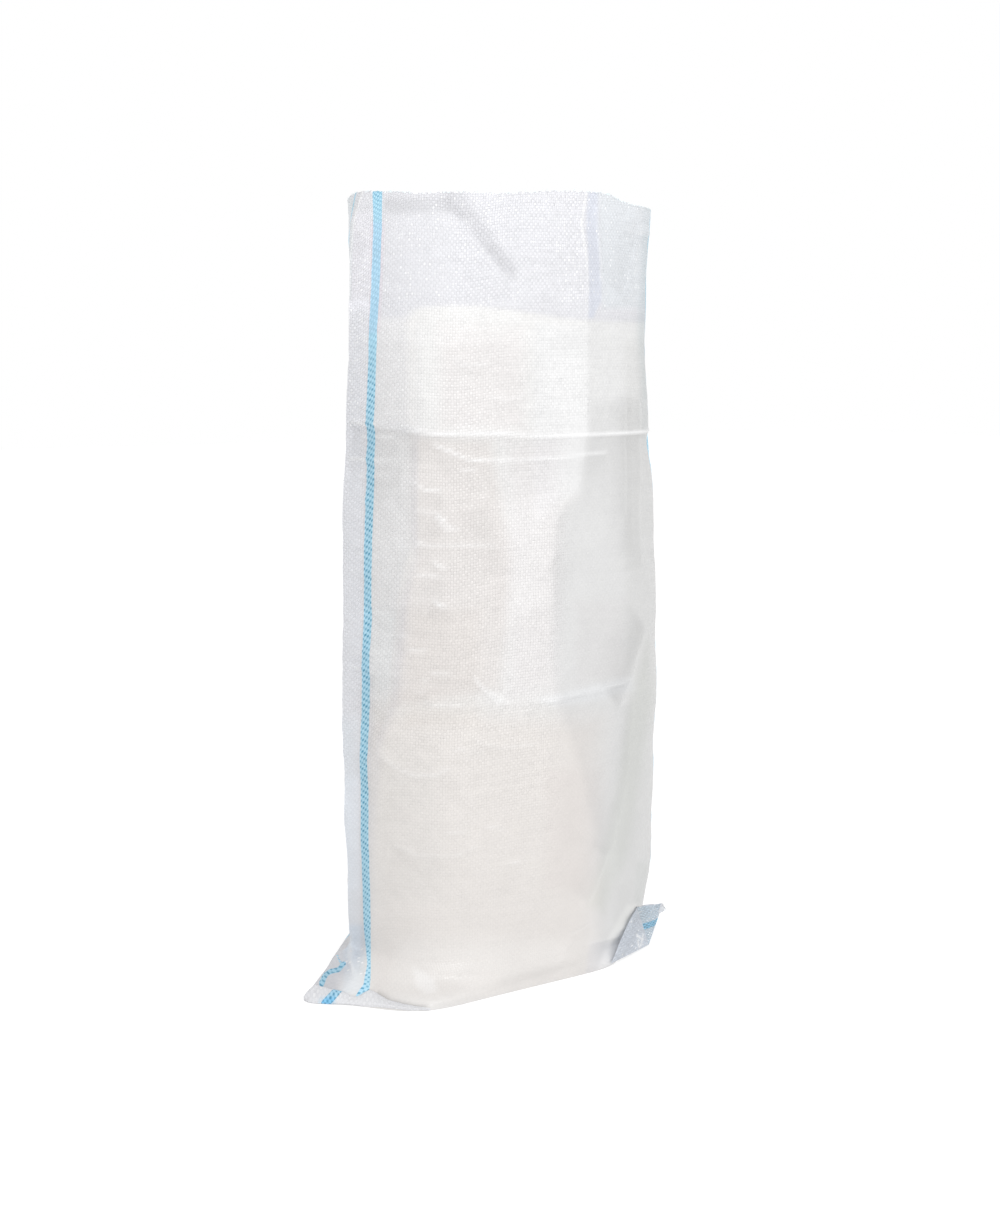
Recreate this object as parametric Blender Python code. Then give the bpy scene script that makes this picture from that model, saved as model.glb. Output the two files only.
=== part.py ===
"""Filled woven sack, 50 x 90 cm lying flat, standing upright with its mouth open.

Three pieces: the woven sack with its folded ears, the fill inside it, and the
sewing thread that closes the hem across the bottom.
Units are metres, +Z is up, and the origin is the middle of the base.
"""

import bisect
import math

import bmesh
import bpy
from mathutils import Vector

# Driving sizes
RIM_HEIGHT = 0.776
WALL = 0.0016
GAP = 0.0003
FILL_GAP = 0.0015
BASE_THICKNESS = 0.0024
RING_POINTS = 64
# Corners sharper than this cosine are moved in no further than it says
SHARPEST_LEAN = 0.5
SHARP_EDGE = math.radians(40)

# Stations of the standing sack, from the floor to the rim. Each one has its height, the left
# fold, four points that pull the front cloth, the right fold, and four points that pull the
# back cloth. The cloth runs as a smooth curve from fold to fold.
STATIONS = (
    (0.000, (-0.246, -0.024),
     ((-0.243, -0.068), (-0.190, -0.138), (0.030, -0.127), (0.152, -0.082)),
     (0.208, -0.008),
     ((0.184, 0.066), (0.076, 0.124), (-0.090, 0.124), (-0.170, 0.056))),
    (0.008, (-0.235, -0.020),
     ((-0.220, -0.064), (-0.176, -0.134), (0.036, -0.128), (0.154, -0.084)),
     (0.219, -0.001),
     ((0.186, 0.068), (0.077, 0.125), (-0.088, 0.125), (-0.164, 0.056))),
    (0.022, (-0.214, -0.008),
     ((-0.196, -0.060), (-0.158, -0.129), (0.044, -0.129), (0.156, -0.085)),
     (0.234, 0.004),
     ((0.188, 0.072), (0.077, 0.127), (-0.086, 0.126), (-0.150, 0.056))),
    (0.034, (-0.196, -0.002),
     ((-0.184, -0.060), (-0.147, -0.126), (0.050, -0.128), (0.157, -0.085)),
     (0.222, 0.000),
     ((0.190, 0.070), (0.076, 0.129), (-0.086, 0.127), (-0.144, 0.057))),
    (0.040, (-0.183, 0.000),
     ((-0.180, -0.060), (-0.143, -0.124), (0.053, -0.127), (0.157, -0.084)),
     (0.190, -0.010),
     ((0.192, 0.064), (0.075, 0.131), (-0.085, 0.128), (-0.140, 0.059))),
    (0.050, (-0.179, 0.000),
     ((-0.175, -0.060), (-0.138, -0.122), (0.055, -0.126), (0.157, -0.083)),
     (0.184, -0.014),
     ((0.192, 0.062), (0.075, 0.132), (-0.085, 0.128), (-0.138, 0.060))),
    (0.180, (-0.183, 0.000),
     ((-0.172, -0.062), (-0.124, -0.123), (0.046, -0.126), (0.163, -0.083)),
     (0.185, -0.014),
     ((0.200, 0.060), (0.074, 0.136), (-0.084, 0.130), (-0.137, 0.061))),
    (0.300, (-0.184, 0.000),
     ((-0.172, -0.062), (-0.120, -0.124), (0.040, -0.126), (0.168, -0.082)),
     (0.190, -0.013),
     ((0.202, 0.062), (0.074, 0.136), (-0.084, 0.130), (-0.137, 0.061))),
    (0.480, (-0.181, 0.000),
     ((-0.170, -0.062), (-0.115, -0.120), (0.040, -0.122), (0.166, -0.076)),
     (0.188, -0.006),
     ((0.200, 0.066), (0.076, 0.136), (-0.085, 0.131), (-0.134, 0.061))),
    (0.600, (-0.175, 0.000),
     ((-0.168, -0.060), (-0.113, -0.115), (0.042, -0.118), (0.163, -0.066)),
     (0.186, 0.006),
     ((0.194, 0.076), (0.080, 0.138), (-0.085, 0.133), (-0.130, 0.061))),
    (0.680, (-0.174, -0.002),
     ((-0.166, -0.058), (-0.112, -0.112), (0.044, -0.116), (0.166, -0.061)),
     (0.190, 0.010),
     ((0.192, 0.080), (0.082, 0.140), (-0.086, 0.135), (-0.132, 0.058))),
    (0.740, (-0.171, -0.005),
     ((-0.163, -0.060), (-0.110, -0.108), (0.046, -0.114), (0.168, -0.062)),
     (0.194, 0.010),
     ((0.192, 0.082), (0.082, 0.140), (-0.084, 0.135), (-0.146, 0.052))),
    (RIM_HEIGHT, (-0.167, -0.016),
     ((-0.152, -0.062), (-0.108, -0.106), (0.046, -0.113), (0.164, -0.066)),
     (0.196, 0.006),
     ((0.184, 0.080), (0.080, 0.138), (-0.086, 0.136), (-0.158, 0.042))),
)
# Heights of the rings that the wall and the fill share, above the base
RING_HEIGHTS = (0.008, 0.015, 0.022, 0.028, 0.034, 0.040, 0.050, 0.110, 0.180, 0.300, 0.390, 0.480,
                0.540, 0.600)
# Heights of the wall's own rings, beside the fill's rounded edge and in the empty mouth
MOUTH_RINGS = (0.642, 0.657, 0.680, 0.740)
# The cut mouth isn't level: how far the rim lies below its highest point along X
RIM_DROP = ((-0.170, 0.003), (-0.150, 0.006), (-0.137, 0.008), (-0.118, 0.006), (-0.068, 0.007),
            (-0.015, 0.002), (0.025, 0.000), (0.070, 0.001), (0.086, 0.006), (0.105, 0.009),
            (0.200, 0.009))
# The ears are doubled cloth, so the inside only follows the wall from this height up, and
# below it the inside rounds in towards the base
EAR_TOP = 0.050
BASE_ROUNDING = 0.010

# Fill: its height at the left and right, its rounded top edge, and how far left it reaches
FILL_TOP_LEFT = 0.657
FILL_TOP_RIGHT = 0.649
FILL_EDGE_RADIUS = 0.014
FILL_EDGE_TURNS = (0.0, 30.0, 60.0, 90.0)
FILL_CROWN = 0.006
FILL_CROWN_RINGS = (0.75, 0.45, 0.2)
FILL_TOP_ENDS = (-0.145, 0.190)
FILL_LEFT_REACH = ((0.0, -0.176), (0.220, -0.174), (0.300, -0.158), (0.430, -0.149),
                   (0.520, -0.143), (0.657, -0.144))
FILL_END_ROUNDING = 0.012

# Hem seam across the underside: it leaves the left ear, runs near the front edge and ends
# in the right ear
SEAM_ROUTE = ((-0.226, -0.024), (-0.188, -0.078), (-0.140, -0.101), (-0.050, -0.102),
              (0.060, -0.083), (0.140, -0.044), (0.198, -0.005))
SEAM_STEPS = 40
THREAD_WIDTH = 0.0026
THREAD_THICKNESS = 0.0008
GROOVE_END = 0.0006

# Colours as linear RGB, with roughness
WOVEN_WHITE = ((0.80, 0.80, 0.82, 1.0), 0.42)
CEMENT_WHITE = ((0.74, 0.71, 0.66, 1.0), 0.95)
THREAD_WHITE = ((0.86, 0.86, 0.84, 1.0), 0.70)


def clear_objects():
    for obj in list(bpy.data.objects):
        bpy.data.objects.remove(obj, do_unlink=True)


def finish_material(name, finish):
    colour, roughness = finish
    material = bpy.data.materials.new(name)
    material.use_nodes = True
    shader = material.node_tree.nodes["Principled BSDF"]
    shader.inputs["Base Color"].default_value = colour
    shader.inputs["Roughness"].default_value = roughness
    shader.inputs["Metallic"].default_value = 0.0
    material.diffuse_color = colour
    return material


def add_object(name, bm, material):
    bmesh.ops.recalc_face_normals(bm, faces=bm.faces)
    mesh = bpy.data.meshes.new(name)
    bm.to_mesh(mesh)
    bm.free()
    mesh.materials.append(material)
    obj = bpy.data.objects.new(name, mesh)
    bpy.context.collection.objects.link(obj)
    mesh.shade_smooth()
    mesh.set_sharp_from_angle(angle=SHARP_EDGE)
    return obj


def along(table, place):
    """The value at a place, read on the straight lines through a table of (place, value)."""
    places = [p for p, _ in table]
    lower = min(max(bisect.bisect_right(places, place) - 1, 0), len(table) - 2)
    (p0, v0), (p1, v1) = table[lower], table[lower + 1]
    share = min(max((place - p0) / (p1 - p0), 0.0), 1.0)
    return v0 + (v1 - v0) * share


def control_points(height):
    """The two cloths' control points at a height, eased between the stations."""
    heights = [station[0] for station in STATIONS]
    lower = min(max(bisect.bisect_right(heights, height) - 1, 0), len(STATIONS) - 2)
    low, high = STATIONS[lower], STATIONS[lower + 1]
    share = (height - low[0]) / (high[0] - low[0])

    def between(a, b):
        return Vector((*a, 0.0)).lerp(Vector((*b, 0.0)), share)

    left, right = between(low[1], high[1]), between(low[3], high[3])
    front = [left, *map(between, low[2], high[2]), right]
    back = [right, *map(between, low[4], high[4]), left]
    return front, back


def spline_point(controls, share):
    """A clamped cubic B-spline through its first and last control points."""
    degree = 3
    inner = len(controls) - degree
    knots = [0.0] * degree + [k / inner for k in range(inner + 1)] + [1.0] * degree
    span = degree
    while span < len(controls) - 1 and share >= knots[span + 1]:
        span += 1
    points = [controls[span - degree + k].copy() for k in range(degree + 1)]
    for level in range(1, degree + 1):
        for k in range(degree, level - 1, -1):
            low = knots[span - degree + k]
            high = knots[span + 1 + k - level]
            points[k] = points[k - 1].lerp(points[k], (share - low) / (high - low))
    return points[degree]


def even_points(controls, count):
    """Points at even distances along the spline, without its last one."""
    samples = [spline_point(controls, k / (4 * count)) for k in range(4 * count + 1)]
    lengths = [0.0]
    for a, b in zip(samples, samples[1:]):
        lengths.append(lengths[-1] + (b - a).length)
    points = []
    for k in range(count):
        target = lengths[-1] * k / count
        at = min(bisect.bisect_right(lengths, target) - 1, len(samples) - 2)
        share = (target - lengths[at]) / (lengths[at + 1] - lengths[at])
        points.append(samples[at].lerp(samples[at + 1], share))
    return points


def cloth_ring(height):
    """The sack's outline in plan, starting at the left fold and running along the front."""
    front, back = control_points(height)
    half = RING_POINTS // 2
    return even_points(front, half) + even_points(back, half)


def inset_ring(ring, distance):
    """The ring moved inwards, with each corner moved along the middle of its angle."""
    inset = []
    for k, point in enumerate(ring):
        before = (point - ring[k - 1]).normalized()
        after = (ring[(k + 1) % len(ring)] - point).normalized()
        tangent = (before + after).normalized()
        inward = Vector((-tangent.y, tangent.x, 0.0))
        lean = max(abs(before.dot(tangent)), SHARPEST_LEAN)
        inset.append(point + inward * distance / lean)
    return inset


def at_height(ring, height):
    """The ring at its height. The rim's ring dips with the cut edge of the mouth."""
    dips = height == RIM_HEIGHT
    return [Vector((p.x, p.y, height - (along(RIM_DROP, p.x) if dips else 0.0)))
            for p in ring]


def stacked_solid(rings):
    """One closed body through the rings, capped at the first and the last one."""
    bm = bmesh.new()
    rows = [[bm.verts.new(p) for p in ring] for ring in rings]
    for lower, upper in zip(rows, rows[1:]):
        for k in range(len(lower)):
            after = (k + 1) % len(lower)
            bm.faces.new((lower[k], lower[after], upper[after], upper[k]))
    bm.faces.new(list(reversed(rows[0])))
    bm.faces.new(rows[-1])
    return bm


def inner_ring(height, extra=0.0):
    """The inside of the wall. Below the ears' top it rounds in from the outline there."""
    ring = cloth_ring(max(height, EAR_TOP))
    depth = max(0.0, 1.0 - height / EAR_TOP)
    return at_height(inset_ring(ring, WALL + extra + BASE_ROUNDING * depth ** 2), height)


def build_sack(material):
    upper = (*RING_HEIGHTS, *MOUTH_RINGS, RIM_HEIGHT)
    outside = [at_height(cloth_ring(h), h) for h in (0.0, *upper)]
    inside = [inner_ring(h) for h in reversed((BASE_THICKNESS, *upper))]
    return add_object("woven_sack", stacked_solid(outside + inside), material)


def fill_ring(height, shrink=0.0):
    """The fill lies against the wall, but stops short of the empty fold on the left."""
    reach = along(FILL_LEFT_REACH, height) + shrink
    ring = []
    for p in inner_ring(height, FILL_GAP + shrink):
        past = p.x - reach
        if past < FILL_END_ROUNDING:
            past = FILL_END_ROUNDING * math.exp(past / FILL_END_ROUNDING - 1.0)
        ring.append(Vector((reach + past, p.y, height)))
    return ring


def fill_top(x):
    """Height of the fill's edge, which drops a little from left to right."""
    left, right = FILL_TOP_ENDS
    return along(((left, FILL_TOP_LEFT), (right, FILL_TOP_RIGHT)), x)


def build_contents(material):
    rings = [fill_ring(BASE_THICKNESS + FILL_GAP)]
    rings += [fill_ring(h) for h in RING_HEIGHTS]
    # Rounded edge, then a low crown towards the middle
    for degrees in FILL_EDGE_TURNS:
        turn = math.radians(degrees)
        shrink = FILL_EDGE_RADIUS * (1.0 - math.cos(turn))
        drop = FILL_EDGE_RADIUS * (1.0 - math.sin(turn))
        ring = fill_ring(FILL_TOP_LEFT, shrink)
        rings.append([Vector((p.x, p.y, fill_top(p.x) - drop)) for p in ring])
    centre = sum(rings[-1], Vector()) / len(rings[-1])
    edge = rings[-1]
    for share in FILL_CROWN_RINGS:
        ring = [centre.lerp(p, share) for p in edge]
        rise = FILL_CROWN * (1.0 - share ** 2)
        rings.append([Vector((p.x, p.y, fill_top(p.x) + rise)) for p in ring])
    return add_object("cement_fill", stacked_solid(rings), material)


def seam_points():
    controls = [Vector((*p, 0.0)) for p in SEAM_ROUTE]
    return [spline_point(controls, k / SEAM_STEPS) for k in range(SEAM_STEPS + 1)]


def seam_strip(width, bottom, top, longer):
    """A flat bar along the seam, with both ends reaching further by the given length."""
    points = seam_points()
    points[0] += (points[0] - points[1]).normalized() * longer
    points[-1] += (points[-1] - points[-2]).normalized() * longer
    bm = bmesh.new()
    rows = []
    for k, point in enumerate(points):
        ahead = points[min(k + 1, len(points) - 1)] - points[max(k - 1, 0)]
        side = Vector((-ahead.y, ahead.x, 0.0)).normalized() * width / 2
        corners = [(point + side, bottom), (point - side, bottom),
                   (point - side, top), (point + side, top)]
        rows.append([bm.verts.new((p.x, p.y, z)) for p, z in corners])
    for a, b in zip(rows, rows[1:]):
        for k in range(4):
            after = (k + 1) % 4
            bm.faces.new((a[k], a[after], b[after], b[k]))
    bm.faces.new(rows[0])
    bm.faces.new(list(reversed(rows[-1])))
    return bm


def build_thread(sack, material):
    """The sewing thread, sunk in a channel of the hem that the cutter leaves."""
    groove_top = GAP + THREAD_THICKNESS + GAP
    bm = seam_strip(THREAD_WIDTH + 2 * GAP, -THREAD_THICKNESS, groove_top, GROOVE_END)
    cutter = add_object("seam_channel_cutter", bm, material)
    cutter.hide_render = True
    cutter.display_type = "WIRE"
    channel = sack.modifiers.new("seam channel", "BOOLEAN")
    channel.operation = "DIFFERENCE"
    channel.solver = "EXACT"
    channel.object = cutter
    bm = seam_strip(THREAD_WIDTH, GAP, GAP + THREAD_THICKNESS, 0.0)
    return add_object("hem_thread", bm, material)


def stand_over_origin(sack):
    """Everything hangs on one empty, which brings the middle of the sack's box to X = Y = 0."""
    xs = [v.co.x for v in sack.data.vertices]
    ys = [v.co.y for v in sack.data.vertices]
    place = bpy.data.objects.new("sack_place", None)
    bpy.context.collection.objects.link(place)
    place.location = (-(min(xs) + max(xs)) / 2, -(min(ys) + max(ys)) / 2, 0.0)
    for obj in bpy.context.collection.objects:
        if obj is not place:
            obj.parent = place


def build():
    clear_objects()
    sack = build_sack(finish_material("woven polypropylene", WOVEN_WHITE))
    build_contents(finish_material("grey-white cement", CEMENT_WHITE))
    build_thread(sack, finish_material("sewing thread", THREAD_WHITE))
    stand_over_origin(sack)


build()
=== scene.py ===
"""Looks of the open woven sack: striped tape cloth with its creases, folded ears and cut rim,
the powder inside it, the stitched hem, a pale floor and soft studio light.

Units are metres. The cloth is shaped in the sack's own plan coordinates, and PLACE brings
them into the frame, as the part's source does.
"""
import math

import bpy
import numpy as np
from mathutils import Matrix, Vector


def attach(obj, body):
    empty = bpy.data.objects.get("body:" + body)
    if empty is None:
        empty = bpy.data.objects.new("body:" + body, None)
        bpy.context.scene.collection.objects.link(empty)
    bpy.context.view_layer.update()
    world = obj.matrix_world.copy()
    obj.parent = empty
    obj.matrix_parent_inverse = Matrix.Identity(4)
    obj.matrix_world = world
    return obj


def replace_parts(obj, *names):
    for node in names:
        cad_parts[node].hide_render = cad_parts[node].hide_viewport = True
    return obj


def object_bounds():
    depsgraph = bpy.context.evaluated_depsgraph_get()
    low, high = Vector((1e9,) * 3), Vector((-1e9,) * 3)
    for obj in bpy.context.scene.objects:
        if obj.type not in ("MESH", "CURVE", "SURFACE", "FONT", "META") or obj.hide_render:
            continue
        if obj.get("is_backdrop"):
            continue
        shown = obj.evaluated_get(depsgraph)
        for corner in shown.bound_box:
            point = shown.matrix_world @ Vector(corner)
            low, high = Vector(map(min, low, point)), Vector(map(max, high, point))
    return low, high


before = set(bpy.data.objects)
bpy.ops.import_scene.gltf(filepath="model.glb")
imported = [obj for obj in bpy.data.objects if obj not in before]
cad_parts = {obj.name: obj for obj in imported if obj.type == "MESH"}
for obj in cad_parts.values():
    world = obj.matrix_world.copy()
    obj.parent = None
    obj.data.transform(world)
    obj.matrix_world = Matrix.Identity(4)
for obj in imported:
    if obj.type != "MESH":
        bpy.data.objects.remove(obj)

CAD_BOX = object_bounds()
SEED = 7

# Where the sack's own plan coordinates lie in the frame
PLACE = np.array((0.0060, -0.00227, 0.0))

# Sack: the same heights and outlines as its solid, but the right ear is a piece of its own.
# Each station has, in millimetres, its height, the left fold, points that pull the front
# cloth, the right fold, and points that pull the back cloth.
MILLIMETRES = 1000
STATIONS = (
    (0, (-246, -24), ((-251, -40), (-222, -54), (-206, -84), (-176, -129), (-110, -123.5),
     (-30, -119), (40, -116.5), (70, -110), (98, -87)), (142, -10), ((145, 58), (76, 120),
     (-90, 124), (-170, 56))),
    (8, (-235, -20), ((-234, -44), (-208, -60), (-190, -92), (-160, -128), (-100, -123.5),
     (-26, -120), (44, -117.5), (78, -112), (108, -88)), (150, -10), ((154, 60), (77, 123),
     (-88, 125), (-164, 56))),
    (20, (-210.5, -7), ((-194, -60), (-158, -129), (44, -128.5), (128, -86)), (160, -12),
     ((168, 61), (77, 127), (-86, 126), (-150, 56))),
    (31, (-196.5, -2), ((-181, -60), (-147, -126), (50, -128), (139, -84)), (168, -13),
     ((177, 61), (76, 129), (-86, 127), (-144, 57))),
    (37, (-181.5, 0), ((-177, -60), (-143, -124), (53, -127), (144, -83)), (172, -14), ((181, 61),
     (75, 131), (-85, 128), (-140, 59))),
    (50, (-179, 0), ((-175, -60), (-138, -122), (55, -126), (149, -82)), (177, -14), ((186, 61),
     (75, 132), (-85, 128), (-138, 60))),
    (90, (-180, 0), ((-174, -61), (-134, -122), (52, -126), (158, -83)), (184, -14), ((194, 61),
     (75, 133), (-85, 129), (-138, 60))),
    (180, (-183, 0), ((-172, -62), (-124, -123), (46, -126), (163, -83)), (185, -14), ((200, 60),
     (74, 136), (-84, 130), (-137, 61))),
    (300, (-184, 0), ((-172, -62), (-120, -124), (40, -126), (168, -82)), (190, -13), ((202, 62),
     (74, 136), (-84, 130), (-137, 61))),
    (480, (-181, 0), ((-170, -62), (-115, -120), (40, -122), (166, -76)), (188, -6), ((200, 66),
     (76, 136), (-85, 131), (-134, 61))),
    (600, (-175, 0), ((-168, -60), (-113, -115), (42, -118), (163, -66)), (186, 6), ((194, 76),
     (80, 138), (-85, 133), (-130, 61))),
    (680, (-174, -2), ((-166, -58), (-112, -112), (44, -116), (166, -61)), (190, 10), ((192, 80),
     (82, 140), (-86, 135), (-132, 58))),
    (740, (-171, -5), ((-163, -60), (-110, -108), (46, -114), (168, -62)), (194, 10), ((192, 82),
     (82, 140), (-84, 135), (-146, 52))),
    (776, (-167, -16), ((-152, -62), (-108, -106), (46, -113), (164, -66)), (196, 6), ((184, 80),
     (80, 138), (-86, 136), (-158, 42))),
)
RIM_HEIGHT = STATIONS[-1][0] / MILLIMETRES
# How far the cut rim lies below its highest point, along X, and the depth that feels it
RIM_DROP = ((-0.170, 0.003), (-0.150, 0.006), (-0.137, 0.008), (-0.118, 0.006), (-0.068, 0.007),
            (-0.015, 0.002), (0.025, 0.000), (0.070, 0.001), (0.086, 0.006), (0.105, 0.009),
            (0.200, 0.009))
RIM_DROP_REACH = 0.060
FRONT_COLUMNS = 224
BACK_COLUMNS = 100
LOW_ROW_TOP = 0.060
LOW_ROW_STEP = 0.0012
ROW_STEP = 0.0031
CURVE_SAMPLES = 600
# Columns of the back cloth that show beside the folds, the left ones only high up
FOLD_COLUMNS = 16
FOLD_SEEN_ABOVE = 0.30

# Cloth: a tube of 334 warp tapes round its metre, and the middles of its four stripes
WARP_TAPES = 334
WEFT_PITCH = 0.0028
STRIPE_PLACES = (10, 157, 177, 324)

# The right ear: the pixels and heights of its fold with the body, of its corner on the floor
# and of its tip, and the columns and heights at which its back meets the body
EAR_FOLD = ((637.3, 907), (630, 919.6), (625.8, 928.5), (620, 941.3), (615.6, 952.8),
            (611, 963.7))
EAR_FOLD_HEIGHTS = (0.0500, 0.0425, 0.0342, 0.0250, 0.0152, 0.0045)
EAR_CORNER = ((648.8, 944.5), 0.0008)
EAR_LOW_TIP = ((659.4, 913.5), 0.010)
EAR_HIGH_TIP = ((661.5, 903.6), 0.021)
EAR_TIP_FOOT = (0.203, -0.010, 0.0008)
EAR_BACK = ((225, 0.020), (229, 0.012), (234, 0.006), (239, 0.0))
EAR_BACK_INSET = 0.0015
# The hem over the tip: its outer edge, and its inner edge with the room above and below that
EAR_TIP_OUTER = (((662.2, 903.0), 0.0215), ((666.3, 909.6), 0.0140))
EAR_TIP_INNER = (((654.6, 904.6), 0.0235), ((658.0, 914.2), 0.0120))
EAR_TIP_ABOVE, EAR_TIP_BELOW = 0.0015, 0.0020
# The ear's pieces: the warp and weft places at the two ends of the first and of the last
# route, how far the cloth bulges, how deep its dents are, and its looks. The flap's darker tint
# is painted shade.
EAR_PIECES = {
    "ear_gusset": (((-20, 22), (-22, 0), (-14, 22), (-8, 0)), 0.0012, 0.0003,
                   {"tint": (0.73, 0.785, 0.837), "specks": 0.15}),
    # The flap is tinted darker as painted shade
    "ear_flap": (((-14.3, 0), (13.2, 0), (-12.3, 12), (-4.3, 12)), 0.0016, 0.0003,
                 {"tint": (0.65, 0.76, 0.825), "specks": 0.5, "weave": 1.9}),
    "ear_back": (((-20, 0), (-12, 0), (-20, 26), (-6, 26)), 0.0022, 0.0004,
                 {"tint": (0.92, 0.93, 0.96)}),
    "ear_top": (((-30, 0), (-8, 26), (-20, 0), (-8, 26)), 0.0, 0.0004,
                {"tint": (0.92, 0.93, 0.96)}),
    "ear_tip_hem": (((-20, 0), (-15, 0), (-20, 8), (-15, 8)), 0.0, 0.0002,
                    {"tint": (0.92, 0.95, 0.96), "whiten": 0.35, "specks": 0.2}),
}
FLAP_STEPS = 28
FLAP_DENTS, FLAP_DENT_TURNS, FLAP_DENT_PHASES = 10, 3, 6.3
# Painted highlights on the gusset, as white streaks: their ends, as shares down the fold and
# away from it
EAR_STREAKS = (((0.65, 0.64), (0.82, 0.86)), ((0.70, 0.89), (0.96, 0.76)),
               ((0.79, 0.70), (0.94, 0.72)))
EAR_STREAK_WIDTH = 0.030
EAR_WHITE_BETWEEN = 0.10
EAR_STRIPE_TAPES = 4.2
EAR_STRIPE_TINT = (0.62, 0.84, 0.90)

# The hem band: steps along it, its shares from the top edge down with the offset from the
# cloth, its height, how low it may come, and its looks. Its whitening and lighter tint are
# painted light that lifts it out of its shade.
HEM_STEPS = 150
HEM_PROFILE = ((0.0, 0.0002), (0.04, 0.0016), (0.12, 0.0021), (0.25, 0.0022), (0.40, 0.0020),
               (0.55, 0.0020), (0.70, 0.0021), (0.85, 0.0020), (0.95, 0.0014), (1.0, 0.0002))
HEM_HEIGHT = 0.016
HEM_LOWEST = 0.0004
HEM_LOOKS = {"specks": 0.20, "whiten": 0.70, "weave": 0.55}
HEM_TINT = (1.02, 1.03, 1.05)
BASE_RINGS = ((1.0, 0.0), (0.97, 0.0012), (0.85, 0.0012), (0.6, 0.0012), (0.3, 0.0012),
              (0.01, 0.0012))

# The rim's loose ends: how many, the share of fibres among them, and of a fibre and a cut
# tape the range of widths, the range of lengths and how far it leans along the rim
RIM_ENDS = 560
FIBRE_SHARE = 0.22
FIBRE_SIZES = ((0.0002, 0.0004), (0.0015, 0.0040), 0.9)
TAPE_END_SIZES = ((0.0012, 0.0026), (0.0002, 0.0011), 0.25)
RIM_LEAN_OUT = 0.5
RIM_END_STEPS = 4
RIM_END_ROOT = 0.0012
RIM_END_OFFSET = 0.0002
RIM_END_WHITENESS = (0.2, 1.0)
FIBRE_DROOP = 0.30
TIP_NARROWING = 0.5

# Powder: the rows of its flank, its room from the cloth, how it rounds off before the empty
# fold on the left, and the rings, heap, lumps and grains of its top
POWDER_TOP = 0.652
POWDER_LOW, POWDER_STEP = 0.004, 0.012
POWDER_INSET, POWDER_TOP_INSET = 0.007, 0.0065
POWDER_LEFT = -0.146
POWDER_ROUNDING = 0.012
POWDER_RINGS = 70
POWDER_SMALLEST_RING = 0.0005
POWDER_HEAP = 0.008
POWDER_LUMPS = ((14, 0.0040), (34, 0.0018), (90, 0.0007))
POWDER_LUMPS_FADE = 6
# How the lumps' waves along X and Y bend each other, as strength and scale, and Y's own scale
LUMPS_BEND_X, LUMPS_BEND_Y, LUMPS_SCALE_Y = (1.7, 0.7), (1.3, 0.6), 1.1
POWDER_GRAIN, POWDER_GRAIN_FADE = 0.0003, 8
POWDER_EDGE_DROP, POWDER_EDGE_REACH = 0.006, 0.03

# Seam: the thread's own route, and the stitches' pitch and the thread's thickness along them
SEAM_ROUTE = ((-0.226, -0.024), (-0.188, -0.078), (-0.140, -0.101), (-0.050, -0.102),
              (0.060, -0.083), (0.140, -0.044), (0.198, -0.005))
SEAM_SAMPLES = 400
STITCH_STEP = 0.0005
STITCH_PITCH = 0.0060
STITCH_SIDES = 8
STITCH_THINNEST = 0.35
STITCH_SWAY = 0.0002
THREAD_HALF_WIDTH = 0.0009
THREAD_HALF_HEIGHT = 0.0004

# Camera, found from the photograph: the distance is measured on the floor
CAMERA_AZIMUTH = math.radians(35.7)
CAMERA_DISTANCE = 2.08
CAMERA_HEIGHT = 0.6106
CAMERA_PITCH = math.radians(6.73)
CAMERA_SIDE_STEP = 0.004
PHOTO_WIDTH, PHOTO_HEIGHT = 1000, 1208
FOCAL_PIXELS = 2048.0
SENSOR = 36.0
# What one of the photograph's pixels is on the sack
PIXEL = 0.00102

# Stage and light
FLOOR_REACH, FLOOR_DROP = 12.0, 0.0004
FLOOR_ROUGHNESS, FLOOR_GLOW = 0.9, 0.66
KEY_LIGHT = {"azimuth": -14, "elevation": 36, "distance": 2.6, "size": 1.0, "power": 26}

# Creases: how wide the ridge is, how deep the shelf reaches, and how the ends fade
CREASE_WIDTH = 0.0016
CREASE_SHELF = 0.012
CREASE_FADE = 0.009


# Camera and the photograph's pixels

def camera_axes():
    """The camera's place in the sack's coordinates, and its right, up and forward axes."""
    s, c = math.sin(CAMERA_AZIMUTH), math.cos(CAMERA_AZIMUTH)
    right = np.array((c, -s, 0.0))
    forward = np.array((s * math.cos(CAMERA_PITCH), c * math.cos(CAMERA_PITCH),
                        -math.sin(CAMERA_PITCH)))
    eye = np.array((-s * CAMERA_DISTANCE, -c * CAMERA_DISTANCE, CAMERA_HEIGHT))
    return eye + CAMERA_SIDE_STEP * right, right, np.cross(right, forward), forward


def at_pixel(pixel, height):
    """The point that shows at a pixel and lies at the given height."""
    eye, right, up, forward = camera_axes()
    ray = (forward + right * (pixel[0] - PHOTO_WIDTH / 2) / FOCAL_PIXELS
           - up * (pixel[1] - PHOTO_HEIGHT / 2) / FOCAL_PIXELS)
    return eye + ray * (height - eye[2]) / ray[2]


def photo_pixels(points):
    """Where points in the sack's coordinates show in the photograph's frame."""
    eye, right, up, forward = camera_axes()
    away = points - eye
    depth = away @ forward
    return np.stack((PHOTO_WIDTH / 2 + FOCAL_PIXELS * (away @ right) / depth,
                     PHOTO_HEIGHT / 2 - FOCAL_PIXELS * (away @ up) / depth), -1)


def make_camera():
    eye, _, _, forward = camera_axes()
    data = bpy.data.cameras.new("camera")
    data.sensor_width = SENSOR
    data.lens = FOCAL_PIXELS / PHOTO_HEIGHT * SENSOR
    camera = bpy.data.objects.new("camera", data)
    bpy.context.scene.collection.objects.link(camera)
    camera.location = Vector(eye + PLACE)
    camera.rotation_mode = "QUATERNION"
    camera.rotation_quaternion = Vector(forward).to_track_quat("-Z", "Y")
    bpy.context.scene.camera = camera


# Outlines and the cloth's grid

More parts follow.
